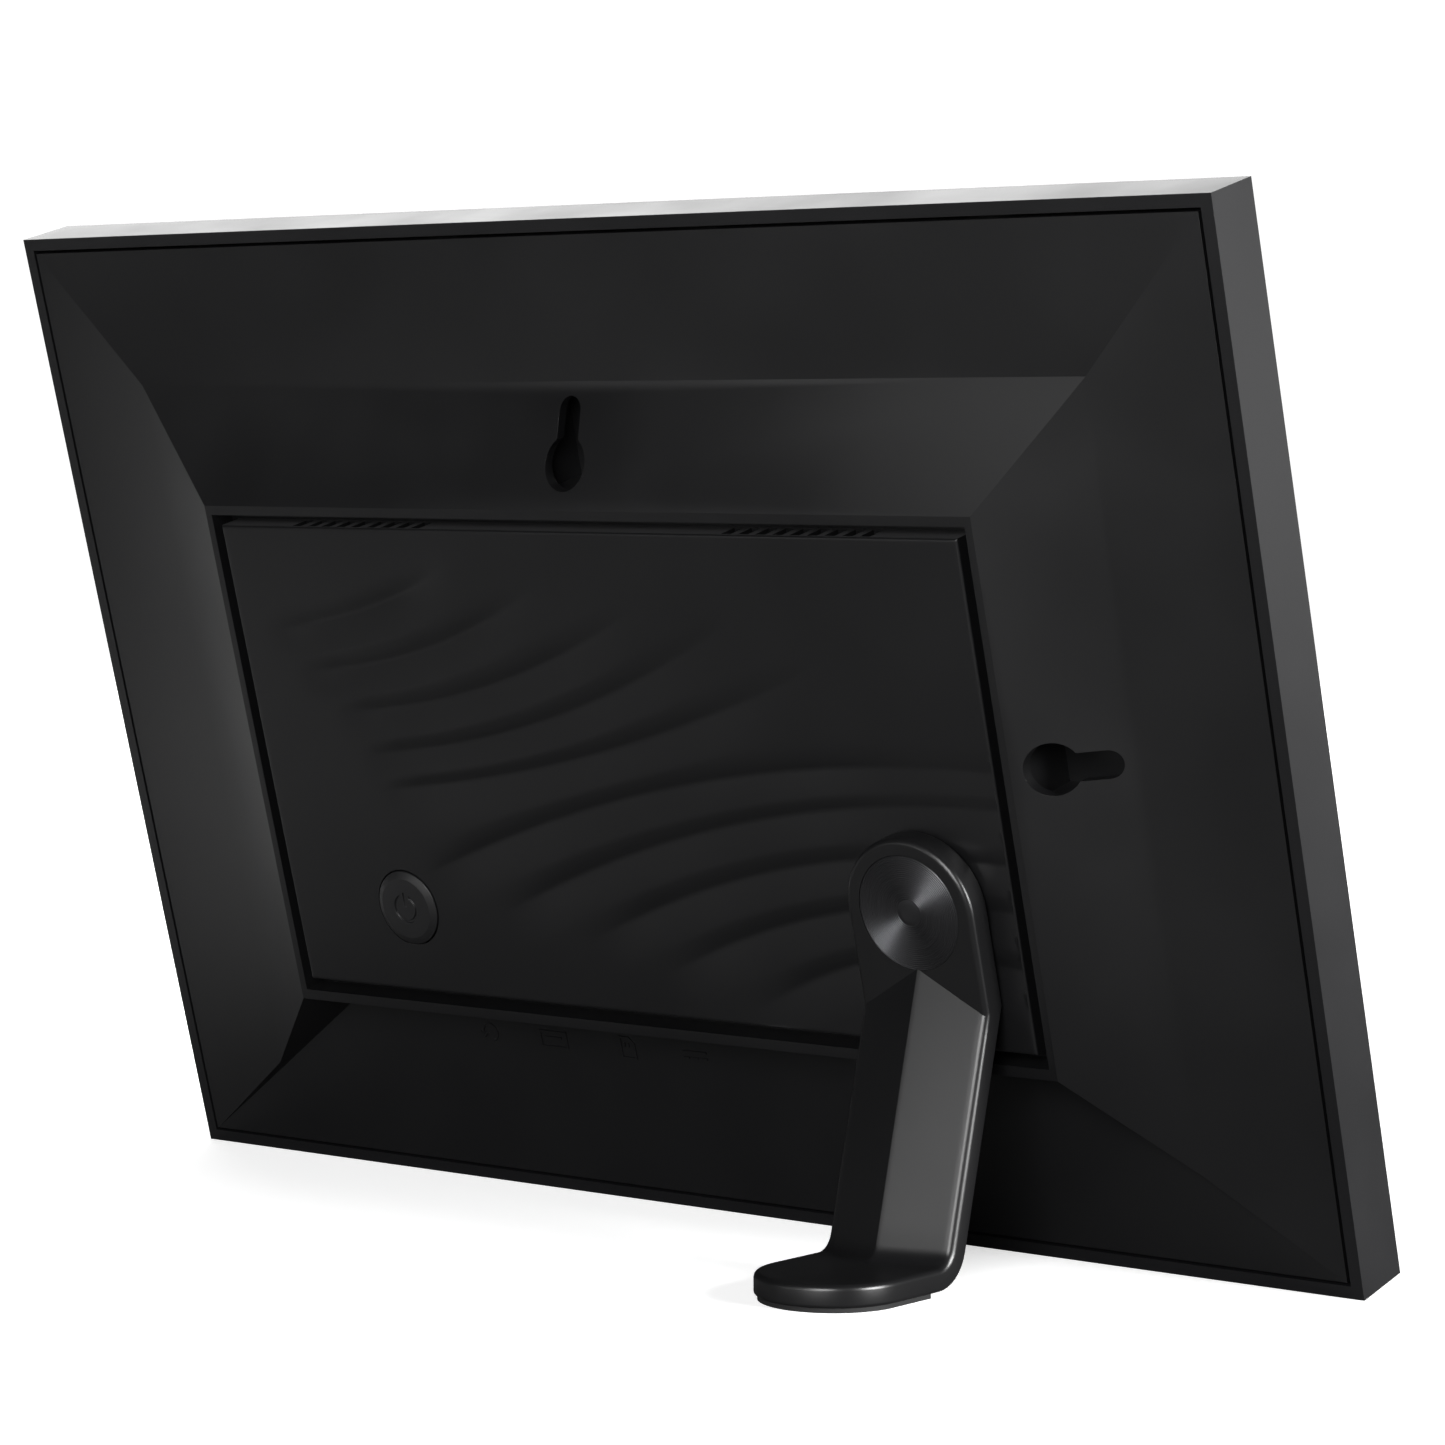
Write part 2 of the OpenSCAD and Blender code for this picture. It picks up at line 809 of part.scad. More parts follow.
module rear_cover() {
    color("#232325") stood() difference() {
        union() {
            difference() {
                cover_form(0);
                // Hollow inside, one wall thickness under the outer form
                intersection() {
                    translate([0, -cover_wall, 0])
                        cover_form(rim_w + 0.5);
                    block(
                        [-cover_x + skirt_t, -far, cover_low_z + skirt_t],
                        [cover_x - skirt_t, far, cover_top_z - skirt_t]
                    );
                }
                // Opens the skirt's underside, and nothing above it
                block(
                    [-cover_x + skirt_t, skirt_y - 1, cover_low_z + skirt_t],
                    [cover_x - skirt_t, -cover_wall, cover_top_z - skirt_t]
                );
            }
            cover_tub();
            intersection() {
                translate([0, -0.3, 0])
                    cover_form(0);
                at_keyholes()
                    hanger_box(0);
            }
        }
        // Recess for the wave panel
        difference() {
            block([-recess_x, floor_y, recess_low_z], [recess_x, far, recess_top_z]);
            rod(pivot_x, pivot_z, 0, panel_in_y - 0.1, pivot_r + bush_wall + 2, 96);
        }
        // Inside of the hanger boxes, and the keyholes through the wall
        intersection() {
            translate([0, -cover_wall, 0])
                cover_form(0);
            at_keyholes()
                hanger_box(hanger_wall);
        }
        at_keyholes()
            keyhole_shape(0, far);
        // Mouths of the sockets through the port wall, and their room under the floor
        oval_bar(
            usb_x, usb_y, usb_w + 2 * socket_room, usb_h + 2 * socket_room,
            port_wall_z - 1, socket_z + usb_len + 0.3
        );
        block(
            [card_x - card_w / 2 - socket_room, board_top_y - socket_room, port_wall_z - 1],
            [card_x + card_w / 2 + socket_room, board_top_y + card_h + socket_room, recess_low_z + 0.1]
        );
        rod_z(dc_x, dc_y, port_wall_z - 1, recess_low_z + 0.1, dc_h / 2 + socket_room);
        block(
            [dc_x - dc_w / 2 - socket_room, board_top_y, recess_low_z],
            [dc_x + dc_w / 2 + socket_room, dc_y + dc_h / 2 + socket_room, socket_z + dc_len + 0.3]
        );
        rod_z(reset_x, reset_y, port_wall_z - 1, recess_low_z + 0.1, 0.9);
        // Bore for the pivot bush, room for the switch, screws and sound
        rod(pivot_x, pivot_z, 0, far, pivot_r + bush_wall + seat, 96);
        rod(button_x, button_z, 0, 8, 5.4, 48);
        for (p = post_points)
            rod(p[0], p[1], 0, 8, 1.6, 32);
        for (x = [-vent_x, vent_x])
            rod(x, speaker_z + speaker_l / 2, 0, 8, cone_r + 0.4, 48);
    }
    // Hooks that snap into the outer frame
    color("#232325") stood() at_hooks() {
        block(
            [-hook_w / 2, hook_y - hook_h, cover_low_z - cover_gap - hook_out],
            [hook_w / 2, hook_y, cover_low_z + 0.1]
        );
        block(
            [-hook_w / 2, hook_y - hook_h, cover_top_z - 0.1],
            [hook_w / 2, hook_y, cover_top_z + cover_gap + hook_out]
        );
    }
}

module cover_screws() {
    color("#8f9296") stood()
        for (p = post_points)
            pan_screw(p[0], p[1], floor_y + 0.02, 1.25, 7, 2.6, 1.4);
}

// ------------------------------------------------------------------ wave panel

module wave_panel() {
    color("#202022") stood() difference() {
        block([-panel_x, floor_y + seat, panel_low_z], [panel_x, plateau_y, panel_top_z]);
        block(
            [-panel_x + panel_skirt, floor_y - 1, panel_low_z + panel_skirt],
            [panel_x - panel_skirt, panel_in_y, panel_top_z - panel_skirt]
        );
        // Vent slots through the upper skirt
        for (side = [-1, 1])
            for (i = [0 : vent_count - 1])
                translate([side * vent_x + (i - (vent_count - 1) / 2) * vent_pitch, 0, 0])
                    block(
                        [-vent_w / 2, floor_y + 0.8, panel_top_z - panel_skirt - 0.1],
                        [vent_w / 2, plateau_y - 0.35, panel_top_z + 1]
                    );
        rod(button_x, button_z, 0, plateau_y + 1, button_d / 2 + free, 96);
        rod(pivot_x, pivot_z, 0, plateau_y + 1, pivot_r + bush_wall + 0.15, 96);
    }
}

// --------------------------------------------------------------- power button

button_y = plateau_y + 0.75;
button_chamfer = 0.6;
button_rim = 1.3;
button_flange_y = panel_in_y - free;
button_flange_t = 1.4;

// The generic on/off mark: a broken ring and an upright bar, sunk into the cap
module power_mark(depth) {
    mark_r = 2.75;
    line_w = 0.55;
    difference() {
        rod(0, 0, button_y - depth, button_y + 1, mark_r, 64);
        rod(0, 0, button_y - depth - 1, button_y + 2, mark_r - line_w, 64);
        block([-1.1, button_y - depth - 1, 0], [1.1, button_y + 2, mark_r + 1]);
    }
    block([-line_w / 2, button_y - depth, 0.3], [line_w / 2, button_y + 1, mark_r + 0.3]);
}

module power_button() {
    color("#2a2a2c") stood() difference() {
        union() {
            translate([button_x, 0, button_z])
                rotate([-90, 0, 0])
                    rotate_extrude($fn = 96)
                        polygon([
                            [0, button_flange_y - button_flange_t],
                            [button_d / 2 + 0.9, button_flange_y - button_flange_t],
                            [button_d / 2 + 0.9, button_flange_y],
                            [button_d / 2, button_flange_y],
                            [button_d / 2, button_y - button_chamfer],
                            [button_d / 2 - button_rim, button_y],
                            [0, button_y]
                        ]);
            // Stem that presses the switch
            rod(button_x, button_z, switch_top_y - 0.15, button_flange_y - 1, stem_r, 48);
        }
        translate([button_x, 0, button_z])
            power_mark(0.3);
    }
}

// ------------------------------------------------------------------------ leg

module pivot_bush() {
    color("#d9d6cc") stood() difference() {
        union() {
            rod(pivot_x, pivot_z, bush_flange_y, plateau_y - 0.1, pivot_r + bush_wall, 96);
            rod(pivot_x, pivot_z, bush_flange_y, floor_in_y - 0.02, pivot_r + bush_wall + 2.6, 96);
        }
        rod(pivot_x, pivot_z, 0, plateau_y + 1, pivot_r + pivot_fit, 96);
    }
}

module spring_washer() {
    color("#a8abae") stood() difference() {
        rod(pivot_x, pivot_z, bush_flange_y - 0.02 - washer_t, bush_flange_y - 0.02, pivot_r + 3.2, 96);
        rod(pivot_x, pivot_z, 0, plateau_y, pivot_r + 0.3, 96);
    }
}

module retainer_plate() {
    color("#a8abae") stood() difference() {
        rod(pivot_x, pivot_z, retainer_y, retainer_y + retainer_t, pivot_r + 3.4, 96);
        rod(pivot_x, pivot_z, 0, plateau_y, 1.7, 40);
    }
}

module pivot_screw() {
    color("#8f9296") stood()
        mirror([0, 1, 0])
            pan_screw(pivot_x, pivot_z, -retainer_y + 0.02, 1.5, 8, 3, 1.6);
}

// Flat part of the leg from the side: head, shank and foot as one bent strip
leg_outline = concat(
    [head_top_back, head_top_front, knee],
    // Inner bend between the shank and the foot
    [
        for (i = [0 : 8])
            ankle + [bend_leg, bend_r] + bend_r * [
                -sin(bend_angle * (1 - i / 8)),
                -cos(bend_angle * (1 - i / 8))
            ]
    ],
    [[foot_tip_y, foot_top], [foot_tip_y, pad_t]],
    // Outer bend under the heel
    [
        for (i = [0 : 8])
            [ankle[0] + bend_leg, foot_top + bend_r] + heel_r * [
                -sin(bend_angle * i / 8),
                -cos(bend_angle * i / 8)
            ]
    ],
    [back_knee]
);

// A strip outline on the table (y, z), carried across the leg's width
module across_leg(points) {
    translate([0, -mid_y, 0])
        along_x(points, pivot_x - leg_r, pivot_x + leg_r);
}

// Front silhouette of the leg: round head above, straight below
module head_form() {
    stood() {
        rod(pivot_x, pivot_z, 0, 90, leg_r, 96);
        block([pivot_x - leg_r, 0, -20], [pivot_x + leg_r, 90, pivot_z]);
    }
}

// Plan of the leg: round foot at the tip
module foot_form(inset = 0) {
    tip = foot_tip_y - leg_r - mid_y;
    translate([pivot_x, tip, -5])
        cylinder(r = leg_r - inset, h = 150, $fn = 96);
    translate([pivot_x - leg_r + inset, tip - 150, -5])
        cube([leg_w - 2 * inset, 150, 150]);
}

// The roof-shaped front of the shank: a triangle carried down the shank
module shank_roof() {
    // Just far enough up for the ridge to end inside the head
    up = ridge_h / tan(splay) + 0.6;
    translate([pivot_x, knee[0] - mid_y, knee[1]])
        rotate([slant, 0, 0])
            translate([0, -0.4, -knee_run - 6])
                linear_extrude(knee_run + 6 + up)
                    polygon([[-leg_r, 0], [leg_r, 0], [leg_r, 0.4], [0, ridge_h + 0.4], [-leg_r, 0.4]]);
}

module stand_leg() {
    color("#262628") difference() {
        union() {
            intersection() {
                union() {
                    across_leg(leg_outline);
                    intersection() {
                        shank_roof();
                        block([-half_w, -far, pad_t + 1], [half_w, far, frame_h]);
                    }
                }
                head_form();
                foot_form();
            }
            stood()
                rod(pivot_x, pivot_z, retainer_y + retainer_t + 0.02, head_in_y + 1, pivot_r, 96);
        }
        stood() {
            // Seat of the turned disc
            rod(pivot_x, pivot_z, head_y - 0.8, head_y + 5, disc_d / 2 + 0.1, 96);
            // Hole for the pivot screw
            rod(pivot_x, pivot_z, 0, retainer_y + 10, 1.55, 40);
        }
    }
}

module turned_disc() {
    rings = 5;
    color("#3a3a3d") stood()
        translate([pivot_x, head_y - 0.78, pivot_z])
            rotate([-90, 0, 0])
                rotate_extrude($fn = 96)
                    polygon(concat(
                        [[0, 0], [disc_d / 2, 0], [disc_d / 2, 0.6]],
                        [
                            for (i = [0 : rings - 1])
                                for (p = [[0.35, 0.74], [1.1, 0.74], [1.3, 0.66]])
                                    [disc_d / 2 - i * 1.5 - p[0], p[1]]
                        ],
                        [[0, 0.66]]
                    ));
}

module foot_pad() {
    color("#151515") intersection() {
        translate([0, -mid_y, 0])
            block(
                [pivot_x - leg_r, ankle[0] + 4.5, 0],
                [pivot_x + leg_r, foot_tip_y, pad_t - 0.02]
            );
        foot_form(0.6);
    }
}

outer_frame();
screen_gasket();
touch_glass();
display_cell();
backlight();
support_plate();
plate_screws();
board_standoffs();
cover_posts();
main_board();
board_screws();
processor();
memory_chips();
wifi_module();
wifi_antenna();
antenna_lead();
ribbon_connectors();
display_ribbon();
touch_ribbon();
power_switch();
reset_switch();
reset_plunger();
usb_shell();
usb_tongue();
card_socket();
dc_jack();
dc_pin();
speaker_boxes();
speaker_cones();
speaker_gaskets();
rear_cover();
cover_screws();
wave_panel();
power_button();
pivot_bush();
spring_washer();
retainer_plate();
pivot_screw();
stand_leg();
turned_disc();
foot_pad();
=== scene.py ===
"""A digital photo frame on its swivelling leg, seen from behind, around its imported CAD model."""

import math

import bmesh
import bpy
import numpy as np
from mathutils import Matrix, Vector


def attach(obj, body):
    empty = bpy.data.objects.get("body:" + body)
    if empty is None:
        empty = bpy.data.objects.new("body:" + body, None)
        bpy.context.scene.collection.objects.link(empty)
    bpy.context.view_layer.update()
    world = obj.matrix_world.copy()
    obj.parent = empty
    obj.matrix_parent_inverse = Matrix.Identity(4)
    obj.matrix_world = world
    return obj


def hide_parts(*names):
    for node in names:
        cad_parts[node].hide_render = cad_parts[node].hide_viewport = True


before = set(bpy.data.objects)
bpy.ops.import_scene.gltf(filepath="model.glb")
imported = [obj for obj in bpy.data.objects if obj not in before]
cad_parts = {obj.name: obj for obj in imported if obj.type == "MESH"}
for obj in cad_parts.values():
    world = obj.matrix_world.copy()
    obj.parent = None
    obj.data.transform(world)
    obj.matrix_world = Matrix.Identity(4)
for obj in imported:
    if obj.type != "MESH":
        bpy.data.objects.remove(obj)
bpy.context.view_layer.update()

# ------------------------------------------------------------------ camera
# The camera stands low behind the frame, to the side of the leg, with a long lens,
# so that the back is seen at an angle and its upright lines run nearly parallel.
EYE = Vector((-0.5106, 0.5969, 0.1397))
GAZE = Vector((0.6328, -0.7716, -0.0639))
FOCAL_MM, SENSOR_MM = 112.8, 36

lens = bpy.data.cameras.new("camera")
lens.lens, lens.sensor_width = FOCAL_MM, SENSOR_MM
camera = bpy.data.objects.new("camera", lens)
camera.location = EYE
camera.rotation_euler = GAZE.to_track_quat("-Z", "Y").to_euler()
bpy.context.scene.collection.objects.link(camera)
bpy.context.scene.camera = camera
bpy.context.scene.view_settings.view_transform = "Standard"


# ------------------------------------------------------------------- floor
# A seamless white paper sweep. It is lit, and glows more away from the object, until it burns out,
# so only the soft shadows where the frame and the foot touch it stay visible. As the black plastic
# mirrors it, it is a grey with painted shade, darkest beside the frame.
def linear(colour):
    """An sRGB hex colour as linear RGBA: each channel to the power of 2.4 after its offset."""
    c = np.array([int(colour[i : i + 2], 16) for i in (1, 3, 5)]) / 255
    c = np.where(c <= 0.04045, c / 12.92, ((c + 0.055) / 1.055) ** 2.4)
    return (*c.tolist(), 1.0)


def add(tree, kind, inputs=None, **settings):
    """Adds a node. Inputs are values, or the sockets that feed them."""
    node = tree.nodes.new(kind)
    for key, value in settings.items():
        setattr(node, key, value)
    for key, value in (inputs or {}).items():
        if isinstance(value, bpy.types.NodeSocket):
            tree.links.new(value, node.inputs[key])
        else:
            node.inputs[key].default_value = value
    return node


FLOOR_HALF = 12.0
# How strongly the paper glows close to the object and away from it, between two distances
GLOW_NEAR, GLOW_FAR = 0.62, 1.05
GLOW_FROM, GLOW_TO = 0.2, 0.6
# Painted shade on the floor as the plastic mirrors it: its grey beside the frame and away from it,
# how far the dark part reaches, and how far the line it is measured from runs each way
PAINTED_SHADE_NEAR, PAINTED_SHADE_FAR = 0.1, 0.18
PAINTED_SHADE_REACH = 0.08
PAINTED_SHADE_LINE = (0.12, 0, 0)

floor_mesh = bpy.data.meshes.new("floor")
floor_mesh.from_pydata(
    [(x, y, 0) for x, y in ((-FLOOR_HALF, -FLOOR_HALF), (FLOOR_HALF, -FLOOR_HALF),
                            (FLOOR_HALF, FLOOR_HALF), (-FLOOR_HALF, FLOOR_HALF))],
    [], [(0, 1, 2, 3)],
)
floor = bpy.data.objects.new("floor", floor_mesh)
bpy.context.scene.collection.objects.link(floor)

paper = bpy.data.materials.new("white_paper_sweep")
paper.use_nodes = True
tree = paper.node_tree
tree.nodes.clear()
# To the eye the paper is burnt out, most of all away from the object; to the black plastic it is a
# darker grey, painted shade in place of the lit paper, as in a dark studio
path = add(tree, "ShaderNodeLightPath")
lit = add(tree, "ShaderNodeBsdfDiffuse", {"Color": linear("#f4f4f4")})
spot = add(tree, "ShaderNodeTexCoord")
away = add(tree, "ShaderNodeVectorMath", {0: spot.outputs["Object"]}, operation="LENGTH")
burn = add(tree, "ShaderNodeMapRange", {
    "Value": away.outputs["Value"], "From Min": GLOW_FROM, "From Max": GLOW_TO,
    "To Min": GLOW_NEAR, "To Max": GLOW_FAR})
glow = add(tree, "ShaderNodeEmission", {"Color": (1, 1, 1, 1), "Strength": burn.outputs["Result"]})
bright = add(tree, "ShaderNodeAddShader", {0: lit.outputs[0], 1: glow.outputs[0]})
# The painted shade is darkest beside the frame, a painted shadow set by the distance from a line as
# long as the frame
end = add(tree, "ShaderNodeVectorMath", {0: spot.outputs["Object"]}, operation="ABSOLUTE")
end = add(tree, "ShaderNodeVectorMath", {0: end.outputs[0], 1: PAINTED_SHADE_LINE}, operation="SUBTRACT")
end = add(tree, "ShaderNodeVectorMath", {0: end.outputs[0], 1: (0, 0, 0)}, operation="MAXIMUM")
off = add(tree, "ShaderNodeVectorMath", {0: end.outputs[0]}, operation="LENGTH")
grey = add(tree, "ShaderNodeMapRange", {
    "Value": off.outputs["Value"], "From Min": 0.0, "From Max": PAINTED_SHADE_REACH,
    "To Min": PAINTED_SHADE_NEAR, "To Max": PAINTED_SHADE_FAR})
painted_shade_floor = add(tree, "ShaderNodeBsdfDiffuse", {"Color": grey.outputs["Result"]})
both = add(tree, "ShaderNodeMixShader", {
    0: path.outputs["Is Camera Ray"], 1: painted_shade_floor.outputs[0], 2: bright.outputs[0]})
add(tree, "ShaderNodeOutputMaterial", {"Surface": both.outputs[0]})
floor_mesh.materials.append(paper)

# ------------------------------------------------------------------ lights
# A dark studio with soft boxes round the frame. Black plastic shows only what it mirrors, so
# each box gives one face its sheen, and two gridded ones brighten the floor that the end sees.
AIM = Vector((0, 0, 0.08))


def area_light(name, width, height, watts):
    """A rectangular light, in metres and watts. It shines straight down until it is turned."""
    light = bpy.data.lights.new(name, "AREA")
    light.shape = "RECTANGLE"
    light.size, light.size_y, light.energy = width, height, watts
    box = bpy.data.objects.new(name, light)
    bpy.context.scene.collection.objects.link(box)
    return box


# Each box: its azimuth (from +Y towards +X) and elevation in degrees, its distance, width and
# height in metres, and its watts
for name, azimuth, elevation, distance, width, height, watts in (
    ("key_box", 8, 24, 1.3, 0.75, 0.75, 0.35),
    ("low_key_box", 8, 3, 1.3, 0.7, 0.3, 1.0),
    ("low_strip", -12, 1, 1.0, 0.4, 0.16, 1.0),
    ("side_strip", 30, 0, 1.0, 0.35, 0.14, 0.26),
    ("foot_box", -25, 15, 1.3, 0.6, 0.6, 14),
    ("top_wall_box", 136, 26, 1.8, 1.5, 0.9, 11.7),
    ("end_wall_box", -100, 12, 1.4, 0.7, 0.6, 40),
    ("end_strip", -140, 3, 1.4, 0.8, 0.25, 0.75),
):
    a, e = math.radians(azimuth), math.radians(elevation)
    towards = Vector((math.sin(a) * math.cos(e), math.cos(a) * math.cos(e), math.sin(e)))
    box = area_light(name, width, height, watts)
    box.location = AIM + towards * distance
    box.rotation_euler = towards.to_track_quat("Z", "Y").to_euler()

# Each gridded spot over the floor: how far along +X it hangs, its width and depth in metres,
# its spread in degrees, and its watts
SPOT_HEIGHT = 0.5
for name, x, width, depth, spread, watts in (
    ("near_floor_spot", 0.34, 0.2, 0.3, 40, 0.52),
    ("far_floor_spot", 0.75, 0.4, 0.6, 60, 2.5),
):
    box = area_light(name, width, depth, watts)
    box.data.spread = math.radians(spread)
    box.location = (x, 0, SPOT_HEIGHT)

# The studio is dark as the plastic mirrors it, and white where the view goes past the paper
STUDIO_DARK, STUDIO_WHITE = 0.02, 1.1

world = bpy.data.worlds.new("studio")
bpy.context.scene.world = world
world.use_nodes = True
tree = world.node_tree
tree.nodes.clear()
path = add(tree, "ShaderNodeLightPath")
strength = add(tree, "ShaderNodeMapRange", {
    "Value": path.outputs["Is Camera Ray"], "To Min": STUDIO_DARK, "To Max": STUDIO_WHITE})
sky = add(tree, "ShaderNodeBackground", {"Color": (1, 1, 1, 1), "Strength": strength.outputs[0]})
add(tree, "ShaderNodeOutputWorld", {"Surface": sky.outputs[0]})


# ------------------------------------------------------------- outer frame
# The outer frame is one ABS moulding: four flat side walls and the front bezel. Its
# edges are eased by the mould, and its faces carry a very fine spark-eroded grain.
FRAME_EASE = 0.2
# The range that a noise pattern mostly keeps to, and how far flow marks shift the roughness
NOISE_LOW, NOISE_HIGH = 0.3, 0.7
FLOW_GLOSS = 0.035
MICRONS = 1e6


def finish(name, colour, roughness, **sockets):
    """A material with one shader, and what a pattern needs: its tree, its shader and the
    Object coordinates."""
    material = bpy.data.materials.new(name)
    material.use_nodes = True
    tree = material.node_tree
    tree.nodes.clear()
    shader = add(tree, "ShaderNodeBsdfPrincipled", {
        "Base Color": linear(colour), "Roughness": roughness})
    for socket, value in sockets.items():
        shader.inputs[socket.replace("_", " ")].default_value = value
    add(tree, "ShaderNodeOutputMaterial", {"Surface": shader.outputs[0]})
    where = add(tree, "ShaderNodeTexCoord").outputs["Object"]
    return material, tree, shader, where


def moulded(name, colour, worn, roughness, grain=0.55, depth=0.006, flow=28):
    """Moulded plastic: a fine grain from the mould as bump, and slow flow marks that
    shift the gloss and the colour a little. Grain, depth and flow are in millimetres."""
    material, tree, shader, where = finish(name, colour, roughness)
    marks = add(tree, "ShaderNodeTexNoise", {
        "Vector": where, "Scale": 1000 / flow, "Detail": 3, "Roughness": 0.55})
    gloss = add(tree, "ShaderNodeMapRange", {
        "Value": marks.outputs["Fac"], "From Min": NOISE_LOW, "From Max": NOISE_HIGH,
        "To Min": roughness - FLOW_GLOSS, "To Max": roughness + FLOW_GLOSS})
    tint = add(tree, "ShaderNodeMix", {
        "Factor": marks.outputs["Fac"], "A": linear(colour), "B": linear(worn)}, data_type="RGBA")
    pits = add(tree, "ShaderNodeTexNoise", {
        "Vector": where, "Scale": 1000 / grain, "Detail": 2, "Roughness": 0.6})
    bump = add(tree, "ShaderNodeBump", {
        "Height": pits.outputs["Fac"], "Distance": depth / 1000, "Strength": 1.0})
    tree.links.new(gloss.outputs["Result"], shader.inputs["Roughness"])
    tree.links.new(tint.outputs["Result"], shader.inputs["Base Color"])
    tree.links.new(bump.outputs["Normal"], shader.inputs["Normal"])
    return material


def show(name, mesh, material, crisp=32):
    """A finished object of a mesh, smooth except where faces meet at more than crisp degrees."""
    mesh.shade_smooth()
    mesh.set_sharp_from_angle(angle=math.radians(crisp))
    mesh.materials.clear()
    mesh.materials.append(material)
    piece = bpy.data.objects.new(name, mesh)
    bpy.context.scene.collection.objects.link(piece)
    return piece


def eased(node, name, radius, material, corner=20, flat=0.6):
    """A copy of a CAD node's solid: corners that agree to a micron are merged, faces that meet
    within flat degrees joined, and edges sharper than corner degrees rounded to a radius in mm."""
    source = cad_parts[node].data
    co = np.empty(len(source.vertices) * 3)
    source.vertices.foreach_get("co", co)
    corners = np.empty(len(source.loops), int)
    source.loops.foreach_get("vertex_index", corners)
    where = np.round(co.reshape(-1, 3) * MICRONS)
    _, first, same = np.unique(where, axis=0, return_index=True, return_inverse=True)
    faces = same.reshape(-1)[corners].reshape(-1, 3)
    faces = faces[(faces != np.roll(faces, 1, axis=1)).all(1)]
    mesh = bpy.data.meshes.new(name)
    mesh.from_pydata(co.reshape(-1, 3)[first].tolist(), [], faces.tolist())
    solid = bmesh.new()
    solid.from_mesh(mesh)
    bmesh.ops.dissolve_limit(
        solid, angle_limit=math.radians(flat), verts=solid.verts, edges=solid.edges)
    solid.to_mesh(mesh)
    solid.free()
    piece = show(name, mesh, material)
    ease = piece.modifiers.new("eased_edges", "BEVEL")
    ease.width = radius / 1000
    ease.segments = 2
    ease.limit_method = "ANGLE"
    ease.angle_limit = math.radians(corner)
    ease.use_clamp_overlap = True
    ease.harden_normals = False
    return piece


# Near-black ABS from a spark-eroded mould: an even, soft sheen that a fine grain breaks up
frame_abs = moulded("spark_eroded_black_abs", "#111112", "#141416", 0.34)
outer_frame = eased("outer_frame", "frame_moulding", FRAME_EASE, frame_abs)
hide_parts("outer_frame")
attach(outer_frame, "frame")


# ------------------------------------------------------------------ screen
# Behind the bezel lie a die-cut foam gasket, the touch glass with its black back print,
# the display cell and the backlight in its white tray. The screen is switched off.
def dress(material, *nodes):
    """Gives CAD nodes their finish. Their shapes stay as they are."""
    for name in nodes:
        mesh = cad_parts[name].data
        mesh.materials.clear()
        mesh.materials.append(material)


PAINTED_GAP_SHADE = (0.002, 0.002, 0.002, 1)


def foamed(name, colour, cell):
    """Foam: round cells of that width in mm, with lines between them that lie a fifth of it deeper
    and are darkened by painted shade."""
    material, tree, shader, where = finish(name, colour, 0.9)
    cells = add(tree, "ShaderNodeTexVoronoi", {"Vector": where, "Scale": 1000 / cell})
    wall = add(tree, "ShaderNodeMapRange", {
        "Value": cells.outputs["Distance"], "From Max": 0.7, "To Min": 1.0, "To Max": 0.55})
    # Painted shade: the deeper lines between the cells are mixed towards black
    shade = add(tree, "ShaderNodeMix", {
        "Factor": wall.outputs["Result"], "A": PAINTED_GAP_SHADE, "B": linear(colour)}, data_type="RGBA")
    bump = add(tree, "ShaderNodeBump", {
        "Height": cells.outputs["Distance"], "Distance": cell / 5000}, invert=True)
    tree.links.new(shade.outputs["Result"], shader.inputs["Base Color"])
    tree.links.new(bump.outputs["Normal"], shader.inputs["Normal"])
    return material


# EVA foam: a dull grey-black, pitted with fine round cells
dress(foamed("closed_cell_black_eva", "#242425", 0.7), "screen_gasket")

# The frame's lean, and how far the footprint's middle lies behind its lower edge, in mm
LEAN = math.radians(15)
MID_Y = 27.325
# The picture's middle, up the frame in mm, and half its width and height in metres
SCREEN_Z = 91
PICTURE_HALF = (0.10848, 1.0, 0.0678)
PRINT_EDGE = 0.0001
WIPE_MM = 45

# Float glass over black: near-black, mirror smooth, with a trace of haze from wiping. The
# picture area behind it is a shade lighter and bluer than the black print round it
glass, tree, shader, where = finish("hardened_glass_printed_black", "#060607", 0.045)
smear = add(tree, "ShaderNodeMapping", {"Vector": where, "Scale": (1, 1, 0.35)})
haze = add(tree, "ShaderNodeTexNoise", {
    "Vector": smear.outputs[0], "Scale": 1000 / WIPE_MM, "Detail": 4})
gloss = add(tree, "ShaderNodeMapRange", {
    "Value": haze.outputs["Fac"], "From Min": 0.35, "From Max": 0.75,
    "To Min": 0.03, "To Max": 0.09})
upright = add(tree, "ShaderNodeMapping", {
    "Vector": where, "Rotation": (LEAN, 0, 0),
    "Location": (0, 0, (MID_Y * math.sin(LEAN) - SCREEN_Z) / 1000)})
out = add(tree, "ShaderNodeVectorMath", {0: upright.outputs[0]}, operation="ABSOLUTE")
out = add(tree, "ShaderNodeVectorMath", {0: out.outputs[0], 1: PICTURE_HALF}, operation="SUBTRACT")
out = add(tree, "ShaderNodeSeparateXYZ", {0: out.outputs[0]})
edge = add(tree, "ShaderNodeMath", {0: out.outputs["X"], 1: out.outputs["Z"]}, operation="MAXIMUM")
printed = add(tree, "ShaderNodeMapRange", {
    "Value": edge.outputs[0], "From Min": -PRINT_EDGE, "From Max": PRINT_EDGE})
black = add(tree, "ShaderNodeMix", {
    "Factor": printed.outputs["Result"], "A": linear("#101318"), "B": linear("#050506")},
    data_type="RGBA")
tree.links.new(black.outputs["Result"], shader.inputs["Base Color"])
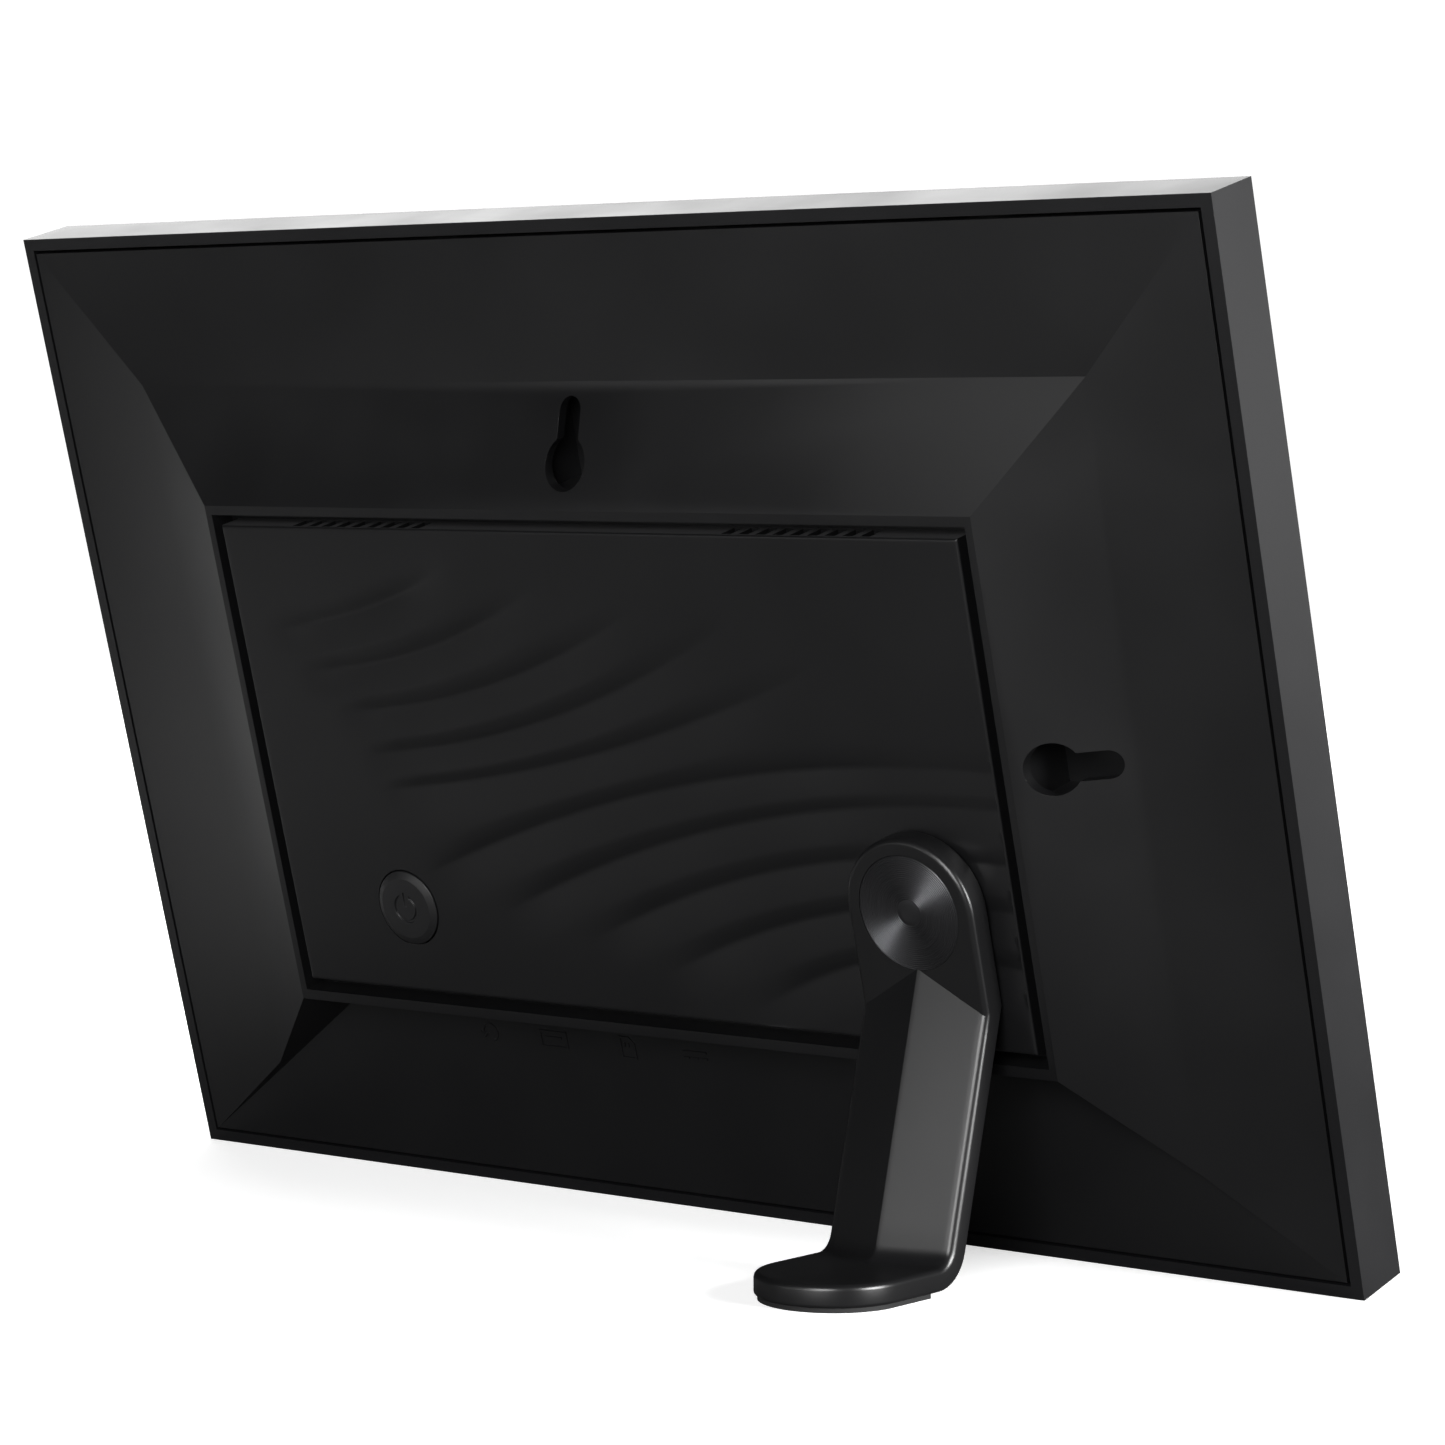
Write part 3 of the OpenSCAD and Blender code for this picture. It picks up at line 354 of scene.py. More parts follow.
tree.links.new(gloss.outputs["Result"], shader.inputs["Roughness"])
dress(glass, "touch_glass")

# Liquid crystal behind its polariser: a deep blue-grey gloss. Its dots, 0.17 mm apart, are
# drawn three to a line so that they can show
DOTS_MM = 0.51
# A wave pattern at scale 1 repeats every so many mm
WAVE_MM = 2 * math.pi / 20 * 1000
cell, tree, shader, where = finish("liquid_crystal_cell", "#15181c", 0.22)
dots = add(tree, "ShaderNodeTexWave", {"Vector": where, "Scale": WAVE_MM / DOTS_MM},
           wave_type="BANDS", bands_direction="X")
tone = add(tree, "ShaderNodeMix", {
    "Factor": dots.outputs["Fac"], "A": linear("#121519"), "B": linear("#1c2127")},
    data_type="RGBA")
tree.links.new(tone.outputs["Result"], shader.inputs["Base Color"])
dress(cell, "display_cell")
# Polycarbonate filled with white: milky, faintly warm, with a soft gloss
dress(moulded("white_polycarbonate_tray", "#d4d3cd", "#c6c5bf", 0.5), "backlight")

# ----------------------------------------------------------- support plate
# A zinc-coated sheet steel plate stiffens the screen and carries the board. It is held to
# the outer frame's bosses by small screws; turned brass posts take the cover's screws.
CRYSTAL_MM = 6

# Zinc on sheet steel: a dull silver, broken into crystals that each have their own grey and
# gloss
steel, tree, shader, where = finish("zinc_coated_steel_sheet", "#a9acaf", 0.38, Metallic=1.0)
spangle = add(tree, "ShaderNodeTexVoronoi", {"Vector": where, "Scale": 1000 / CRYSTAL_MM})
grey = add(tree, "ShaderNodeMix", {
    "Factor": spangle.outputs["Color"], "A": linear("#94989c"), "B": linear("#b9bcbe")},
    data_type="RGBA")
gloss = add(tree, "ShaderNodeMapRange", {
    "Value": spangle.outputs["Color"], "To Min": 0.3, "To Max": 0.48})
tree.links.new(grey.outputs["Result"], shader.inputs["Base Color"])
tree.links.new(gloss.outputs["Result"], shader.inputs["Roughness"])
dress(steel, "support_plate", "retainer_plate")


def machined(name, colour, roughness, mark, swing=0.1):
    """Turned or rolled metal: fine tool marks, mark mm apart across the part and a thirtieth as
    deep, which also shift the roughness by swing each way."""
    material, tree, shader, where = finish(name, colour, roughness, Metallic=1.0)
    streak = add(tree, "ShaderNodeMapping", {
        "Vector": where, "Rotation": (-LEAN, 0, 0), "Scale": (1, 0.08, 1)})
    tool = add(tree, "ShaderNodeTexNoise", {
        "Vector": streak.outputs[0], "Scale": 1000 / mark, "Detail": 2})
    gloss = add(tree, "ShaderNodeMapRange", {
        "Value": tool.outputs["Fac"], "To Min": roughness - swing, "To Max": roughness + swing})
    bump = add(tree, "ShaderNodeBump", {"Height": tool.outputs["Fac"], "Distance": mark / 30000})
    tree.links.new(gloss.outputs["Result"], shader.inputs["Roughness"])
    tree.links.new(bump.outputs["Normal"], shader.inputs["Normal"])
    return material


# Nickel plate: a bright, cool grey. Turned brass: a warm yellow. Both have fine streaks
screw_steel = machined("nickel_plated_screw_steel", "#8d8f92", 0.3, 0.4)
brass = machined("turned_brass", "#b89a55", 0.28, 0.4)
dress(screw_steel, "plate_screws", "board_screws", "pivot_screw", "dc_pin")
dress(brass, "board_standoffs", "cover_posts")

# ----------------------------------------------------------- circuit board
# The main board is glass-fibre laminate under green solder mask, with copper tracks that
# show through it. Its chips are black moulded epoxy; the radio sits under a tin can.
TRACKS_MM = 12
MASK_MM = 0.03

# Solder mask: a glossy dark green, paler over the copper tracks, which stand up a little. The
# tracks are 0.5 mm wide and 1.7 mm apart, in runs of about 8 mm
board, tree, shader, where = finish("green_solder_mask_on_laminate", "#0d3a22", 0.3)
tracks = add(tree, "ShaderNodeTexBrick", {
    "Scale": 1000 / TRACKS_MM, "Mortar Size": 0.045, "Brick Width": 0.7, "Row Height": 0.14,
    "Color1": linear("#0d3a22"), "Color2": linear("#0f4427"), "Mortar": linear("#1c6a3d")})
flip = add(tree, "ShaderNodeMapping", {"Vector": where, "Rotation": (math.pi / 2, 0, 0)})
tree.links.new(flip.outputs[0], tracks.inputs["Vector"])
bump = add(tree, "ShaderNodeBump", {"Height": tracks.outputs["Fac"], "Distance": MASK_MM / 1000})
tree.links.new(tracks.outputs["Color"], shader.inputs["Base Color"])
tree.links.new(bump.outputs["Normal"], shader.inputs["Normal"])
dress(board, "main_board")
# Moulded epoxy: a dry, even black-grey. Tin plate: a pale, soft mirror with rolling streaks
epoxy = moulded("moulded_black_epoxy", "#1a1a1b", "#202021", 0.5, grain=0.3, depth=0.01)
dress(epoxy, "processor", "memory_chips")
tin = machined("tinned_steel_can", "#b4b6b8", 0.25, 0.6)
dress(tin, "wifi_module", "usb_shell", "card_socket")

# ----------------------------------------------------- aerial and ribbons
# The aerial is a film stuck inside the cover, fed by a thin sheathed lead. Two polyimide
# ribbons run from the board, round the plate's slots, to the display and the touch glass.
WIRES_MM = 1.0

# Polyimide film: glossy amber, with the copper conductors under it as paler lines
film, tree, shader, where = finish("amber_polyimide_film", "#8a5318", 0.28)
wires = add(tree, "ShaderNodeTexWave", {"Vector": where, "Scale": WAVE_MM / WIRES_MM},
            wave_type="BANDS", bands_direction="X")
tone = add(tree, "ShaderNodeMix", {
    "Factor": wires.outputs["Fac"], "A": linear("#6e3f10"), "B": linear("#a3672a")},
    data_type="RGBA")
tree.links.new(tone.outputs["Result"], shader.inputs["Base Color"])
dress(film, "wifi_antenna", "display_ribbon", "touch_ribbon")
# An extruded black sheath with a smooth gloss, and moulded nylon, a dull ivory
sheath = moulded("black_fep_sheath", "#19191a", "#1e1e1f", 0.35, grain=1.5, depth=0.01)
dress(sheath, "antenna_lead")
dress(moulded("ivory_nylon", "#cfc9b6", "#c2bca8", 0.5), "ribbon_connectors")

# ------------------------------------------------------ switches, sockets
# A tactile switch stands under the power button and a smaller one behind the reset hole.
# The sockets are folded sheet shells with moulded tongues, soldered along the board's edge.

# Glass-filled nylon: a dull, slightly mottled black
switch_black = moulded("black_nylon_switch_body", "#1c1c1d", "#222223", 0.48)
dress(switch_black, "power_switch", "reset_switch", "reset_plunger", "usb_tongue", "dc_jack")

# ---------------------------------------------------------------- speakers
# Two closed speaker boxes face the vent slots. Each has a pressed paper cone and a ring
# of foam that seals it against the cover's wall.
FIBRE_MM = 1.0
FIBRE_RISE = 0.05

# Plain moulded ABS: a dull black. Pressed paper: no gloss at all, and felted with short fibres
# of two greys. Open foam: black, with cells large enough to see
dress(moulded("black_speaker_box_abs", "#1b1b1c", "#202021", 0.45), "speaker_boxes")
pulp, tree, shader, where = finish("pressed_paper_cone", "#2c2b29", 0.85)
fibre = add(tree, "ShaderNodeTexNoise", {
    "Vector": where, "Scale": 1000 / FIBRE_MM, "Detail": 5, "Distortion": 1.5})
tone = add(tree, "ShaderNodeMix", {
    "Factor": fibre.outputs["Fac"], "A": linear("#222120"), "B": linear("#373532")},
    data_type="RGBA")
bump = add(tree, "ShaderNodeBump", {"Height": fibre.outputs["Fac"], "Distance": FIBRE_RISE / 1000})
tree.links.new(tone.outputs["Result"], shader.inputs["Base Color"])
tree.links.new(bump.outputs["Normal"], shader.inputs["Normal"])
dress(pulp, "speaker_cones")
dress(foamed("open_cell_black_foam", "#1c1c1d", 0.9), "speaker_gaskets")

# -------------------------------------------------------------- rear cover
# The rear cover is a deep ABS moulding that snaps into the outer frame. Its keyholes
# and socket mouths are formed in the mould, so their rims are eased like its edges.
COVER_EASE = 0.18

# ABS from a finely textured mould: near-black, with a soft sheen a little glossier than the
# outer frame's
cover_abs = moulded("fine_grained_black_abs", "#101011", "#131314", 0.33)
rear_cover = eased("rear_cover", "rear_cover_moulding", COVER_EASE, cover_abs)
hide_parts("rear_cover")
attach(rear_cover, "frame")
dress(screw_steel, "cover_screws")

# ------------------------------------------------------------ socket marks
# Four small signs stand just proud of the lower face, under the reset hole and the three
# sockets. They are cut into the mould, so they are the cover's own plastic.

# The signs' height up the face, their stroke and how far they stand out, in mm
MARK_Z = 30.4
MARK_LINE, MARK_RISE = 0.5, 0.2
# How far a rib's foot and its flat top reach each way, as shares of the stroke, and how far
# its foot lies under the face, as a share of its rise
RIB_FOOT, RIB_TOP, RIB_SUNK = 0.5, 0.3, 0.3
# At a sharp corner a rib widens by no more than this
MITRE = 2
# The lower face starts at this height, and comes out 1 mm for each so many mm up
FACE_Z, FACE_RUN = 2.8, 35


def stood(points):
    """Millimetres on the upright frame (x, out of the back, up it) as metres on the table: the
    frame leans back about its lower edge, and the footprint's middle is the origin."""
    x, y, z = np.moveaxis(np.asarray(points, float), -1, 0)
    c, s = math.cos(LEAN), math.sin(LEAN)
    return np.stack([x, y * c + z * s - MID_Y, z * c - y * s], -1) / 1000


def quads(rows, columns, wrap_rows=False, wrap_columns=False):
    """The corner numbers of every cell of a grid of points, rows by columns."""
    i = np.arange(rows if wrap_rows else rows - 1)[:, None]
    j = np.arange(columns if wrap_columns else columns - 1)[None, :]
    i2, j2 = (i + 1) % rows, (j + 1) % columns
    cells = [i * columns + j, i2 * columns + j, i2 * columns + j2, i * columns + j2]
    return np.stack(np.broadcast_arrays(*cells), -1).reshape(-1, 4)


def closed(name, points, faces):
    """A mesh of a closed skin: points that meet are merged, and its faces are turned outwards."""
    mesh = bpy.data.meshes.new(name)
    mesh.from_pydata(points.reshape(-1, 3).tolist(), [], [tuple(f) for f in faces.tolist()])
    skin = bmesh.new()
    skin.from_mesh(mesh)
    bmesh.ops.remove_doubles(skin, verts=skin.verts, dist=1e-6)
    bmesh.ops.dissolve_degenerate(skin, edges=skin.edges, dist=1e-7)
    bmesh.ops.recalc_face_normals(skin, faces=skin.faces)
    skin.to_mesh(mesh)
    skin.free()
    return mesh


def rib(path, closed_path):
    """A low rib with sloping sides, carried along a path (x, z) on the lower face, in mm. At
    each corner it is cut square to the half-angle, and widened by its cosine to keep its sides."""
    path = np.asarray(path, float)
    ahead = np.roll(path, -1, 0) - path
    if not closed_path:
        ahead[-1] = ahead[-2]
    back = np.roll(ahead, 1, 0) if closed_path else np.vstack([ahead[:1], ahead[:-1]])
    ahead /= np.linalg.norm(ahead, axis=1, keepdims=True)
    back /= np.linalg.norm(back, axis=1, keepdims=True)
    along = ahead + back
    along /= np.linalg.norm(along, axis=1, keepdims=True)
    side = np.stack([-along[:, 1], along[:, 0]], 1)
    side /= np.maximum((along * ahead).sum(1), 1 / MITRE)[:, None]
    across = np.array([-RIB_FOOT, -RIB_TOP, RIB_TOP, RIB_FOOT]) * MARK_LINE
    x = path[:, :1] + side[:, :1] * across
    z = path[:, 1:] + side[:, 1:] * across
    y = (z - FACE_Z) / FACE_RUN + MARK_RISE * np.array([-RIB_SUNK, 1, 1, -RIB_SUNK])
    n = len(path)
    faces = quads(n, 4, wrap_rows=closed_path, wrap_columns=True)
    if not closed_path:
        faces = np.vstack([faces, [[0, 1, 2, 3]], [[4 * n - 4, 4 * n - 3, 4 * n - 2, 4 * n - 1]]])
    return np.stack([x, y, z], -1).reshape(-1, 3), faces


turn = np.radians(np.linspace(-20, 250, 28))
# Each sign: where it stands along the face, and its strokes, as points (x, z) from its middle
# and whether the stroke closes
SIGNS = [
    # Reset: a turning arrow
    (49.6, [(1.7 * np.stack([np.cos(turn), np.sin(turn)], 1), False),
            ([(0.6, -0.15), (1.6, -0.85), (2.5, 0.1)], False)]),
    # USB: a plug's mouth with its tongue
    (34.0, [([(-3.1, -1.5), (3.1, -1.5), (3.1, 1.5), (-3.1, 1.5)], True),
            ([(-1.9, 0.35), (1.9, 0.35)], False)]),
    # Card slot: a card with one clipped corner, and its contacts
    (16.2, [([(-1.6, -2), (1.6, -2), (1.6, 2), (-0.5, 2), (-1.6, 0.9)], True),
            ([(-0.2, 1.0), (-0.2, 0.1)], False),
            ([(0.7, 1.0), (0.7, 0.1)], False)]),
    # Power inlet: a full line over a broken one, the common sign for direct current
    (0.5, [([(-2.7, 0.6), (2.7, 0.6)], False),
           ([(-2.7, -0.6), (-1.4, -0.6)], False),
           ([(-0.65, -0.6), (0.65, -0.6)], False),
           ([(1.4, -0.6), (2.7, -0.6)], False)]),
]
sign_points, sign_faces, count = [], [], 0
for sign_x, strokes in SIGNS:
    for path, is_closed in strokes:
        points, faces = rib(np.asarray(path) + (sign_x, MARK_Z), is_closed)
        sign_points.append(points)
        sign_faces.append(faces + count)
        count += len(points)
marks_mesh = closed("socket_marks", stood(np.vstack(sign_points)), np.vstack(sign_faces))
marks = show("socket_marks", marks_mesh, cover_abs)
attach(marks, "frame")


# -------------------------------------------------------------- wave panel
# The wave panel is a thin ABS insert, clipped into the cover's recess with a deep gap all
# round. Its face has two sets of overlapping soft waves, and its upper wall the vent slots.

# Half its width, its lower and upper ends up the frame, how far its face and its walls' feet
# stand out of the back, the face's thickness and the walls', and its rounded edge, all in mm
PANEL_X = 83.05
PANEL_LOW, PANEL_TOP = 42.0, 130.1
PANEL_FACE, PANEL_FOOT = 11.0, 6.05
PANEL_T, PANEL_SKIRT = 1.8, 1.2
PANEL_EDGE = 0.45
# Each hole: its middle's x and z, and its radius; then how far out the grid bends round it
BUTTON_HOLE, BUTTON_REACH = (54.2, 58.2, 7.3), 11.4
PIVOT_HOLE, PIVOT_REACH = (-65.1, 67.4, 9.15), 13.6
# Two groups of slots in the upper wall: their middles' x, how many, their pitch and width,
# and how far out of the back their upper and lower ends lie
VENT_X, VENTS = 49.8, 9
VENT_PITCH, VENT_W = 3.63, 2.1
VENT_HIGH, VENT_LOW = 10.65, 6.8
# The slots' upper ends stop this far short, just under the panel's rounded edge
VENT_SHORT = 0.12
# The grid lines' spacing
GRID_ACROSS, GRID_UP = 0.8, 0.45
# A wave's depth at its crease, and how wide its short and its long side are
WAVE_DEEP, WAVE_ROLL, WAVE_RUN = 1.05, 5.0, 8.5
# An upper wave starts this far before its crease does and ends as far after it, rises over so
# many mm, and fades over this share of its length. A lower wave only starts and rises
UPPER_EARLY, UPPER_IN, UPPER_OUT = 3, 13, 0.4
LOWER_EARLY, LOWER_IN = 6, 18
# Past this x the lower waves lose this share of their depth, over so many mm
CALM_X, CALM_RUN, CALM = -45, 25, 0.5
# Round the pivot the panel is flat up to this radius, and full depth so many mm beyond
FLAT_R, FLAT_RUN = 9.2, 3.6

# Each crease: the x where it starts, the z there, its slope and bend, and the x where it fades
UPPER_CREASES = [
    (74.5, 110.7, 0.103, 0.00374, 30.5),
    (69.0, 103.0, 0.027, 0.00428, 8.8),
    (60.5, 95.5, 0.044, 0.00337, -13.4),
    (56.6, 87.6, 0.062, 0.00271, -35.1),
    (53.8, 80.9, 0.091, 0.00161, -53.7),
]
# Each crease: the x and z of its crest at the right, its bend, and the x where it starts
LOWER_CREASES = [
    (-74.6, 90.9, 0.00173, 44.3),
    (-78.6, 84.4, 0.00215, 27.1),
    (-72.4, 75.1, 0.00291, 6.9),
    (-74.5, 66.9, 0.00356, -9.7),
    (-68.9, 57.9, 0.0067, -28.4),
]


def soft_step(t):
    """0 below 0, 1 above 1, and a smooth rise between."""
    t = np.clip(t, 0, 1)
    return t * t * (3 - 2 * t)


def wave_depth(x, z):
    """How far the waves lie under the panel's face, in mm: the deepest of all their sections,
    each faded in at its crease's start and out at its end."""
    sunk = np.zeros_like(x)
    for start, z0, slope, bend, end in UPPER_CREASES:
        s = start - x
        line = z0 + slope * s + bend * s * np.abs(s)
        fade_in = soft_step((s + UPPER_EARLY) / UPPER_IN)
        fade_out = soft_step((x - end + UPPER_EARLY) / (UPPER_OUT * (start - end)))
        sunk = np.maximum(sunk, fade_in * fade_out * shingle(z - line))
    for crest, z0, bend, start in LOWER_CREASES:
        line = z0 - bend * (x - crest) ** 2
        fade_in = soft_step((start + LOWER_EARLY - x) / LOWER_IN)
        calm = 1 - CALM * soft_step((CALM_X - x) / CALM_RUN)
        sunk = np.maximum(sunk, fade_in * calm * shingle(z - line))
    near = np.hypot(x - PIVOT_HOLE[0], z - PIVOT_HOLE[1])
    return sunk * soft_step((near - FLAT_R) / FLAT_RUN)


def shingle(above):
    """The section of one wave, by the distance above its crease: it sinks gently up to the crease,
    to the power of 1.6, and beyond it comes back up more steeply, as a square."""
    under = WAVE_DEEP * (1 - np.clip(-above / WAVE_RUN, 0, 1)) ** 1.6
    over = WAVE_DEEP * (1 - np.clip(above / WAVE_ROLL, 0, 1)) ** 2
    return np.where(above < 0, under, over)


def round_off(x, z, hole, reach):
    """Turns the square rings of grid points round a hole into circles, less and less out to
    reach: each point is scaled from the middle by its square distance over its round one."""
    dx, dz = x - hole[0], z - hole[1]
    square = np.maximum(np.abs(dx), np.abs(dz))
    circle = np.hypot(dx, dz)
    pull = np.clip((reach - square) / (reach - hole[2]), 0, 1)
    scale = 1 + pull * (square / np.maximum(circle, 1e-9) - 1)
    return hole[0] + dx * scale, hole[1] + dz * scale


def lines(low, high, step, keys):
    """Grid lines a step apart, with the nearest line moved onto each key place."""
    places = np.linspace(low, high, round((high - low) / step) + 1)
    for key in keys:
        places[np.abs(places - key).argmin()] = key
    return places


vent_edges = [side * VENT_X + (i - (VENTS - 1) / 2) * VENT_PITCH + half * VENT_W / 2
              for side in (-1, 1) for i in range(VENTS) for half in (-1, 1)]
hole_edges_x = [h[0] + side * h[2] for h in (BUTTON_HOLE, PIVOT_HOLE) for side in (-1, 1)]
hole_edges_z = [h[1] + side * h[2] for h in (BUTTON_HOLE, PIVOT_HOLE) for side in (-1, 1)]
# The wall's foot, the slots' low and high ends and the rounded edge: how far each row lies in
# from the panel's edge, and how far down from its face
vent_low, vent_high = PANEL_FACE - VENT_LOW, PANEL_FACE - VENT_HIGH
quarter = np.radians(np.linspace(0, 90, 5))[:-1]
wall_in = np.concatenate([np.zeros(3), PANEL_EDGE * (1 - np.cos(quarter))])
wall_down = np.concatenate([
    [PANEL_FACE - PANEL_FOOT, vent_low, vent_high + VENT_SHORT],
    PANEL_EDGE * (1 - np.sin(quarter)),
])
across = np.concatenate([
    -PANEL_X + wall_in,
    lines(-PANEL_X + PANEL_EDGE, PANEL_X - PANEL_EDGE, GRID_ACROSS, vent_edges + hole_edges_x),
    (PANEL_X - wall_in)[::-1],
])
upward = np.concatenate([
    PANEL_LOW + wall_in,
    lines(PANEL_LOW + PANEL_EDGE, PANEL_TOP - PANEL_EDGE, GRID_UP, hole_edges_z),
    (PANEL_TOP - wall_in)[::-1],
])
down_x = np.concatenate([wall_down, np.zeros(len(across) - 2 * len(wall_down)), wall_down[::-1]])
down_z = np.concatenate([wall_down, np.zeros(len(upward) - 2 * len(wall_down)), wall_down[::-1]])
grid_x, grid_z = np.meshgrid(across, upward)
drop = np.maximum(*np.meshgrid(down_x, down_z))

# Cells are left out inside the holes, and in the upper wall's row of slots
middle_x, middle_z = np.meshgrid((across[1:] + across[:-1]) / 2, (upward[1:] + upward[:-1]) / 2)
keep = np.ones_like(middle_x, bool)
for x, z, radius in (BUTTON_HOLE, PIVOT_HOLE):
    keep &= np.maximum(np.abs(middle_x - x), np.abs(middle_z - z)) > radius
in_vent = np.zeros(middle_x.shape[1], bool)
for low, high in zip(vent_edges[::2], vent_edges[1::2]):
    in_vent |= (middle_x[0] > low) & (middle_x[0] < high)
keep[-2, :] &= ~in_vent

for hole, reach in ((BUTTON_HOLE, BUTTON_REACH), (PIVOT_HOLE, PIVOT_REACH)):
    grid_x, grid_z = round_off(grid_x, grid_z, hole, reach)
face_y = PANEL_FACE - drop - np.where(drop > 0, 0, wave_depth(grid_x, grid_z))
outer = np.stack([grid_x, face_y, grid_z], -1)
# The inside follows the outside, one wall in from the edge and flat under the waves. At the
# rounded edge its rows lie a hair deeper, so that they don't fold over
HAIR = 0.02
inner_x = np.clip(grid_x, -PANEL_X + PANEL_SKIRT, PANEL_X - PANEL_SKIRT)
inner_z = np.clip(grid_z, PANEL_LOW + PANEL_SKIRT, PANEL_TOP - PANEL_SKIRT)
inner_y = np.where(drop >= vent_high, PANEL_FACE - PANEL_T - HAIR, PANEL_FACE - PANEL_T)
inner_y = np.where(drop >= vent_low - HAIR / 2, PANEL_FACE - drop, inner_y)
inner = np.stack([inner_x, inner_y, inner_z], -1)

cells = quads(*grid_x.shape)[keep.reshape(-1)]
sides = np.stack([cells, np.roll(cells, -1, 1)], -1).reshape(-1, 2)
_, which, times = np.unique(np.sort(sides, 1), axis=0, return_index=True, return_counts=True)
rim = sides[which[times == 1]]
size = grid_x.size
panel_faces = np.vstack([cells, cells[:, ::-1] + size,
                         np.stack([rim[:, 1], rim[:, 0], rim[:, 0] + size, rim[:, 1] + size], 1)])
panel_mesh = closed("wave_panel_moulding", stood(np.stack([outer, inner])), panel_faces)
# Satin ABS: near-black, and even enough that the waves show as slow changes of sheen
panel_abs = moulded("satin_black_abs", "#101011", "#131314", 0.33)
panel = show("wave_panel_moulding", panel_mesh, panel_abs, crisp=38)
# The faces that look up the frame, the upper wall with the vents among them, get a coarser, greyer
# ABS: the grey is painted light, as if light reached down into the gap
panel_mesh.materials.append(moulded("painted_light_black_abs_wall", "#2c2c2d", "#323233", 0.6))
UPWARD = 0.97
stance = np.empty(len(panel_mesh.polygons) * 3)
panel_mesh.polygons.foreach_get("normal", stance)
up_frame = stance.reshape(-1, 3) @ [0, math.sin(LEAN), math.cos(LEAN)]
# Painted light: faces are picked by their normal, not by the part, to get the lighter grey
panel_mesh.polygons.foreach_set("material_index", (up_frame > UPWARD).astype(np.int32))
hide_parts("wave_panel")
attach(panel, "frame")

# ------------------------------------------------------------ power button
# The power button is a small moulded cap with a chamfered rim. Its on/off mark is
# sunk into the top, and it rests on a rubber-domed switch under the panel.
BUTTON_EASE = 0.07

# Fine matt ABS: a shade greyer than the panel round it, with a duller edge to its highlights
button_abs = moulded("fine_matt_black_abs", "#161617", "#1a1a1b", 0.38)
button = eased("power_button", "power_button_cap", BUTTON_EASE, button_abs)
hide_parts("power_button")
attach(button, "button")

# ------------------------------------------------------------------- pivot
# The leg's barrel turns in an acetal bush. Under the cover a spring washer presses on the
# retainer plate, which the pivot screw holds to the barrel, so that friction keeps the leg.

# Acetal: a waxy, warm white. Tempered spring steel: a blue-grey shine
dress(moulded("natural_acetal", "#d8d5ca", "#ccc9bd", 0.38), "pivot_bush")
dress(machined("blue_spring_steel", "#6d7076", 0.3, 0.4), "spring_washer")

# --------------------------------------------------------------- stand leg
# The leg is one solid moulding: a round flat head, a shank with a ridge like a roof, and a
# turned-out foot. Its pivot barrel goes through the cover and turns in a plastic bush.

# Half its width, and the head: its middle, and how far out of the back its two faces stand
LEG_R = 12.8
PIVOT_X, HEAD_Z, _ = PIVOT_HOLE
HEAD_FRONT, HEAD_BACK = 16.0, 11.3
# The knee, where the shank leaves the head, out of the back and up from the table
KNEE = np.array([28.396, 44.155])
SLANT = math.radians(14)
# The shank's thickness at its sides, how far its ridge stands out, and how round the ridge is
SHANK_T, RIDGE_H, RIDGE_SOFT = 3.8, 3.7, 0.12
# The foot: its top and underside above the table, the middle of its round end, and its bend
FOOT_TOP, FOOT_LOW, FOOT_END = 4.6, 0.8, 52.958
BEND_R = 3.5
# The rounding of the front's and the back's edges, and the disc's seat in the head
FRONT_EDGE, BACK_EDGE = 1.0, 0.6
SEAT_R, SEAT_DEEP = 10.04, 0.8
# The barrel: its radius and bore, how far out of the back it starts and ends, and its sides
BARREL_R, BARREL_BORE = 7, 1.55
BARREL_LOW, BARREL_HIGH = 1.02, 11.6
BARREL_SIDES = 64
# Directions (y, z): down the shank and out of it, up the frame and out of its back
DOWN = np.array([math.sin(SLANT), -math.cos(SLANT)])
OUT = np.array([math.cos(SLANT), math.sin(SLANT)])
UP_FRAME = np.array([math.sin(LEAN), math.cos(LEAN)])
OFF_FRAME = np.array([math.cos(LEAN), -math.sin(LEAN)])
# The bend turns the shank down to the level
TURNED = math.pi / 2 - SLANT


def along(p, stops):
    """The point at p on a path through its stops, at p = 0, 1, 2 and so on."""
    low = np.clip(np.floor(p).astype(int), 0, len(stops) - 2)
    part = (p - low)[..., None]
    stops = np.stack(np.broadcast_arrays(*stops))
    first = np.broadcast_to(low[..., None], stops.shape[1:])[None]
    before = np.take_along_axis(stops, first, 0)[0]
    after = np.take_along_axis(stops, first + 1, 0)[0]
    return before * (1 - part) + after * part


